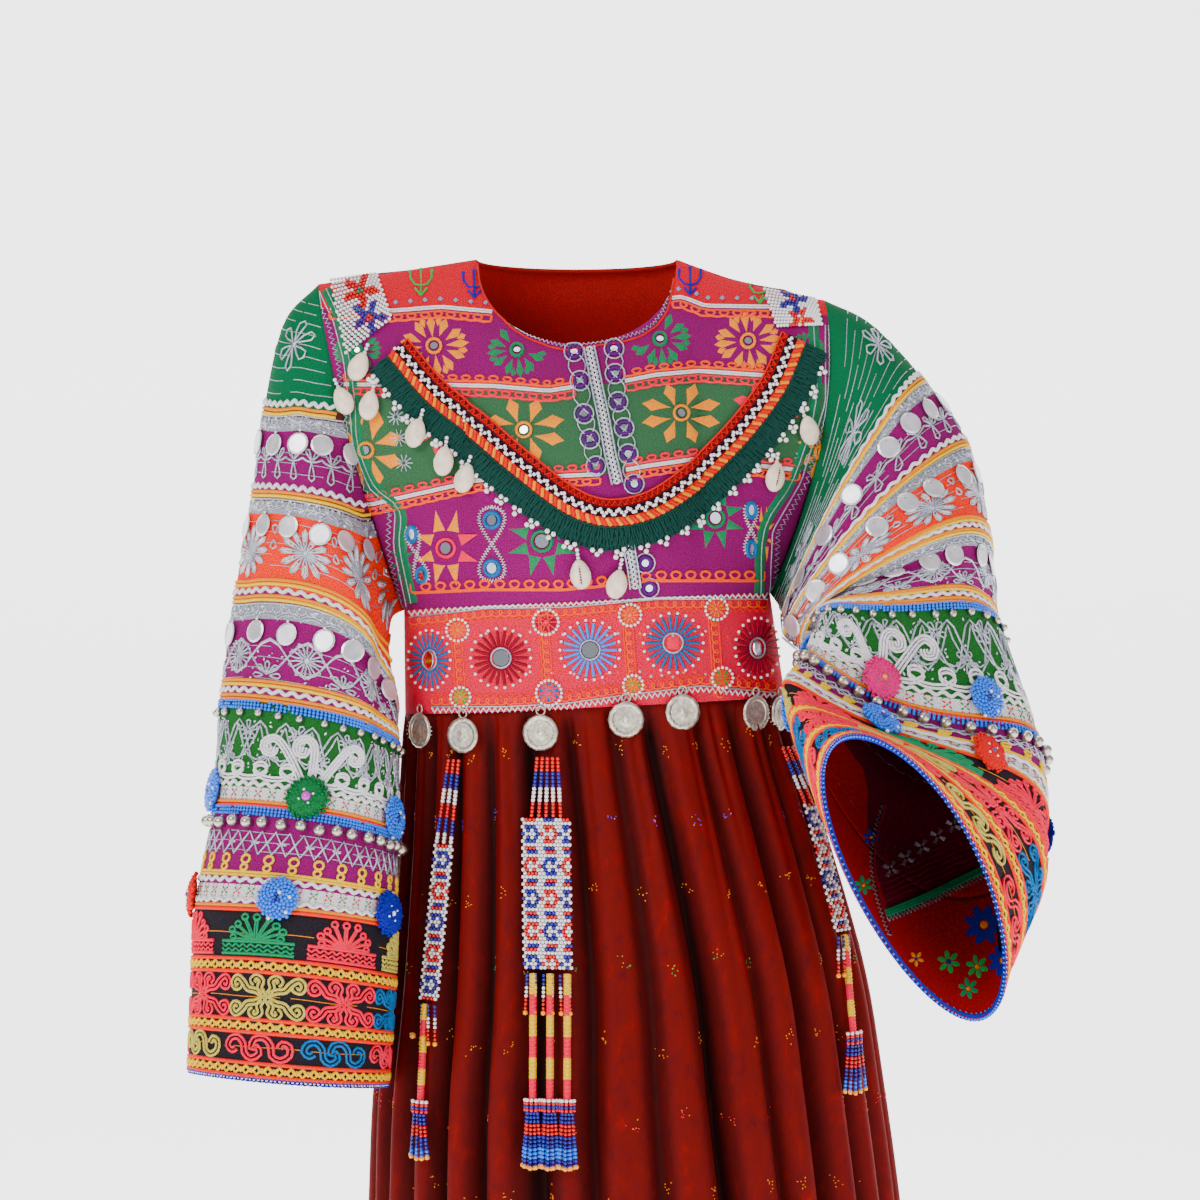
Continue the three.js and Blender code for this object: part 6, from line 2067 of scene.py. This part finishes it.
pompomPlaces = {
    "right": [(80, 442), (152, 442), (224, 442), (296, 442), (8, 442), (76, 534), (148, 534), (222, 534),
              (296, 534), (0, 534)],
    "left": [(100, 442), (46, 442), (330, 442), (258, 442), (182, 442), (90, 530), (44, 530), (334, 534),
             (262, 534), (186, 534)],
}
pompom = {"halfThickness": 4.4, "radius": 17, "offsets": np.linspace(-30, 30, 13), "mostLift": 6}
goldenTurn = 2.39996
pompomKinds = {
    "right": ("green", "blueBead", "red", "navy", "blueBead", "blueBead", "navy", "magenta", "blueBead",
              "red"),
    "left": ("magenta", "blueBead", "navy", "red", "blueBead", "blueBead", "red", "navy", "magenta",
             "blueBead"),
}


def pompomPiece(side, index, kind):
    name = "pompom_%s_%02d" % (side, index + 1)
    middle, normal = nodeDisc(name)
    turn, along = pompomPlaces[side][index]
    centre = (math.radians(turn) * sleeve["radius"], bandOfAlong(side, math.radians(turn), along))
    _, outward = onSleeve(side, centre[0], centre[1])
    if np.dot(normal, outward) < 0:
        normal = -normal
    sideways = np.cross(normal, [0.05, 0.1, 1.0])
    sideways = sideways / np.linalg.norm(sideways)
    upward = np.cross(normal, sideways)
    ground = middle - normal * pompom["halfThickness"]
    # lifted where the sleeve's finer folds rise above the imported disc's back
    first, second = np.meshgrid(pompom["offsets"], pompom["offsets"])
    nearby = onSleeve(side, centre[0] + first, centre[1] + second)[0] - ground
    heights = nearby @ normal
    flatAway = np.linalg.norm(nearby - heights[..., None] * normal, axis=-1)
    highest = heights[flatAway < pompom["radius"]].max()
    ground = ground + normal * float(np.clip(highest, 0, pompom["mostLift"]))
    blocks = []

    def put(shape, dye, place, height, size):
        points, faces = shapes[shape]
        local = points * np.asarray(size, float)
        placed = (ground + sideways * (place[0] + local[:, :1]) + upward * (place[1] + local[:, 1:2])
                  + normal * (height + local[:, 2:3]))
        blocks.append((placed[None], faces, dye, True))

    if kind == "blueBead":
        put("shellBody", "blueBead", (0, 0), 2.5, (17.0, 17.0, 2.9))
        for bead in range(105):
            reach = 18.2 * math.sqrt((bead + 0.5) / 105)
            dye = "navyBead" if bead < 4 else ("whiteBead" if bead % 31 == 7 else "blueBead")
            put("seed", dye, polar(reach, bead * goldenTurn),
                3.2 + 3.4 * math.cos(0.5 * math.pi * reach / 19) + random.uniform(-0.4, 0.4), (1.9,) * 3)
    else:
        dye = {"green": "woolGreenBright"}.get(kind, kind)
        put("shellBody", dye, (0, 0), 3.9, (16.5, 16.5, 4.1))
        for tuft in range(115):
            reach = 18.6 * math.sqrt((tuft + 0.5) / 115)
            height = 2.4 + 4.6 * math.cos(0.5 * math.pi * reach / 20.5)
            put("seed", dye, polar(reach, tuft * goldenTurn), height + random.uniform(-0.7, 0.9),
                (random.uniform(1.6, 2.3), random.uniform(1.6, 2.3), random.uniform(1.4, 2.4)))
        eye = {"green": "magentaBead", "magenta": "goldBead", "navy": "whiteBead", "red": "navyBead"}[kind]
        put("ball", eye, (0, 0), 8.0, (4.2, 4.2, 2.6) if kind == "green" else (2.4, 2.4, 2.0))
        for turn in turnsOf(4, 0.4):
            put("seed", "whiteBead" if kind != "magenta" else "greenBead", polar(6.2, turn), 7.6, (1.3,) * 3)
    return blocks, name


for side in ("right", "left"):
    blocks = []
    names = []
    for index, kind in enumerate(pompomKinds[side]):
        made, name = pompomPiece(side, index, kind)
        blocks += made
        names.append(name)
    piece = joinMesh(side + "Pompoms", blocks)
    for name in names:
        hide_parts(name)
print("pompoms ready")

# Glitter sprigs woven over the velvet, in rows of changing colour
sprigDyes = ("gold", "violet", "gold", "brightGreen", "gold", "rose", "gold", "blue")
for region in ("skirtFront", "skirtBack"):
    for row in range(14):
        for column in range(17):
            share = (column + (0.5 if row % 2 else 0.05)) / 17
            place = (skirtSpots["across"] * share + random.uniform(-6, 6),
                     405 + 61 * row + random.uniform(-7, 7))
            if not 8 < place[0] < skirtSpots["across"] - 8:
                continue
            dye = sprigDyes[row % 8]
            for fleck in range(7):
                turn = random.uniform(0, 2 * math.pi)
                reach = random.uniform(1, 7)
                spot = polar(reach, turn) + place
                lay(region, "diamond", random.choice((dye, dye, "gold")), spot,
                    (random.uniform(0.5, 1.1), 0.55, 0.6),
                    turn, lift=0.1)
    layAll(region, region + "Sprigs")


# Inside of the open cuff: printed red lining, a green seam, a vertical seam and the reverse of the embroidery
def printFlower(spot, size, dye, middle, petals):
    for turn in turnsOf(petals, 0.3):
        lay("cuffView", "lozenge", dye, polar(0.6 * size, turn) + spot, (0.36 * size, 0.2 * size, 0.4), turn,
            rigid=False, lift=0.05)
    lay("cuffView", "round", middle, spot, (0.17 * size, 0.17 * size, 0.7), rigid=False, lift=0.05)


for spot, size, dye, middle, petals in (
        ((984, 926), 21, "navy", "gold", 8), ((948, 963), 12, "brightGreen", "navy", 6),
        ((977, 968), 12, "brightGreen", "gold", 6), ((1004, 962), 17, "navy", "gold", 8),
        ((968, 990), 11, "cordGreen", "gold", 6), ((862, 886), 10, "cordGreen", "gold", 6),
        ((915, 960), 8, "gold", "navy", 5), ((870, 838), 9, "navy", "gold", 6)):
    printFlower(spot, size, dye, middle, petals)
crossSeam = smoothLine([(883, 915), (906, 906), (930, 896), (956, 884), (984, 871), (1000, 862)], 4)
uprightSeam = smoothLine([(884, 806), (876, 832), (872, 862), (876, 892), (884, 920), (890, 936)], 4)
for aside in (-2.2, 0, 2.2):
    sewCord("cuffView", "cordGreen", 1.6, crossSeam, aside=aside, step=4, lift=0.4)
sewZigzag("cuffView", "silver", 0.6, crossSeam, 3.4, 4.5, aside=5.5, lift=0.5)
sewCord("cuffView", "maroon", 1.3, uprightSeam, step=4, lift=0.4)
sewZigzag("cuffView", "silver", 0.45, uprightSeam, 4.0, 3.0, aside=2.4, lift=0.5)
for index in range(5):
    centre = np.array((889 + 16 * index, 870 - 11 * index), float)
    for turn in turnsOf(4, 0.45):
        reach = polar(1, turn)
        for way in (-1.6, 0, 1.6):
            side = np.array((-reach[1], reach[0])) * way
            sew("cuffView", "silver", 0.5, [centre + reach * 2 + 0.4 * side, centre + reach * 8 + side], 0.4)
for row in range(6):
    line = [(884 + 4 * step, 902 - 6 * row - 1.7 * step + 0.6 * math.sin(step)) for step in range(24)]
    sew("cuffView", "maroon", 0.45, line, 0.2)
sewCord("inside", "navy", 1.6, around(690), step=9, lift=0.2)
sewLoops("inside", "blue", 0.6, around(687), 6.0, 3.0, curl=0.5, detail=6, lift=0.4)
sewAll("inside", "cuffHemThreads")
sewAll("cuffView", "cuffInsideThreads")
layAll("cuffView", "cuffInsidePrint")

# Armhole facings: the green sleeve cloth folded over onto the bodice and stitched down
facingCloth = plainMaterial("greenFacing", "sleeveGreen", roughness=0.82, grain=900, vary=0.2)
for side, line in ((-1, [(322, 292), (335, 321), (345, 360), (351, 405), (354, 444), (371, 488), (396, 512),
                         (396, 546), (408, 604)]),
                   (1, [(818, 325), (820, 402), (797, 480), (768, 530), (764, 596)])):
    low, high = (-9, 1) if side < 0 else (-1, 9)
    path = smoothLine(line, 4)
    name = "armholeFacing" + ("Right" if side < 0 else "Left")
    facing = ribbon(name, "bodice", path, low, high, facingCloth, "banded_cloth", lift=0.6, dome=0.7)
    sewCord("bodice", "silver", 0.5, path, aside=(low + high) / 2, step=4, lift=1.6)
sewAll("bodice", "facingStitches")
print("sprigs, lining and facings ready")
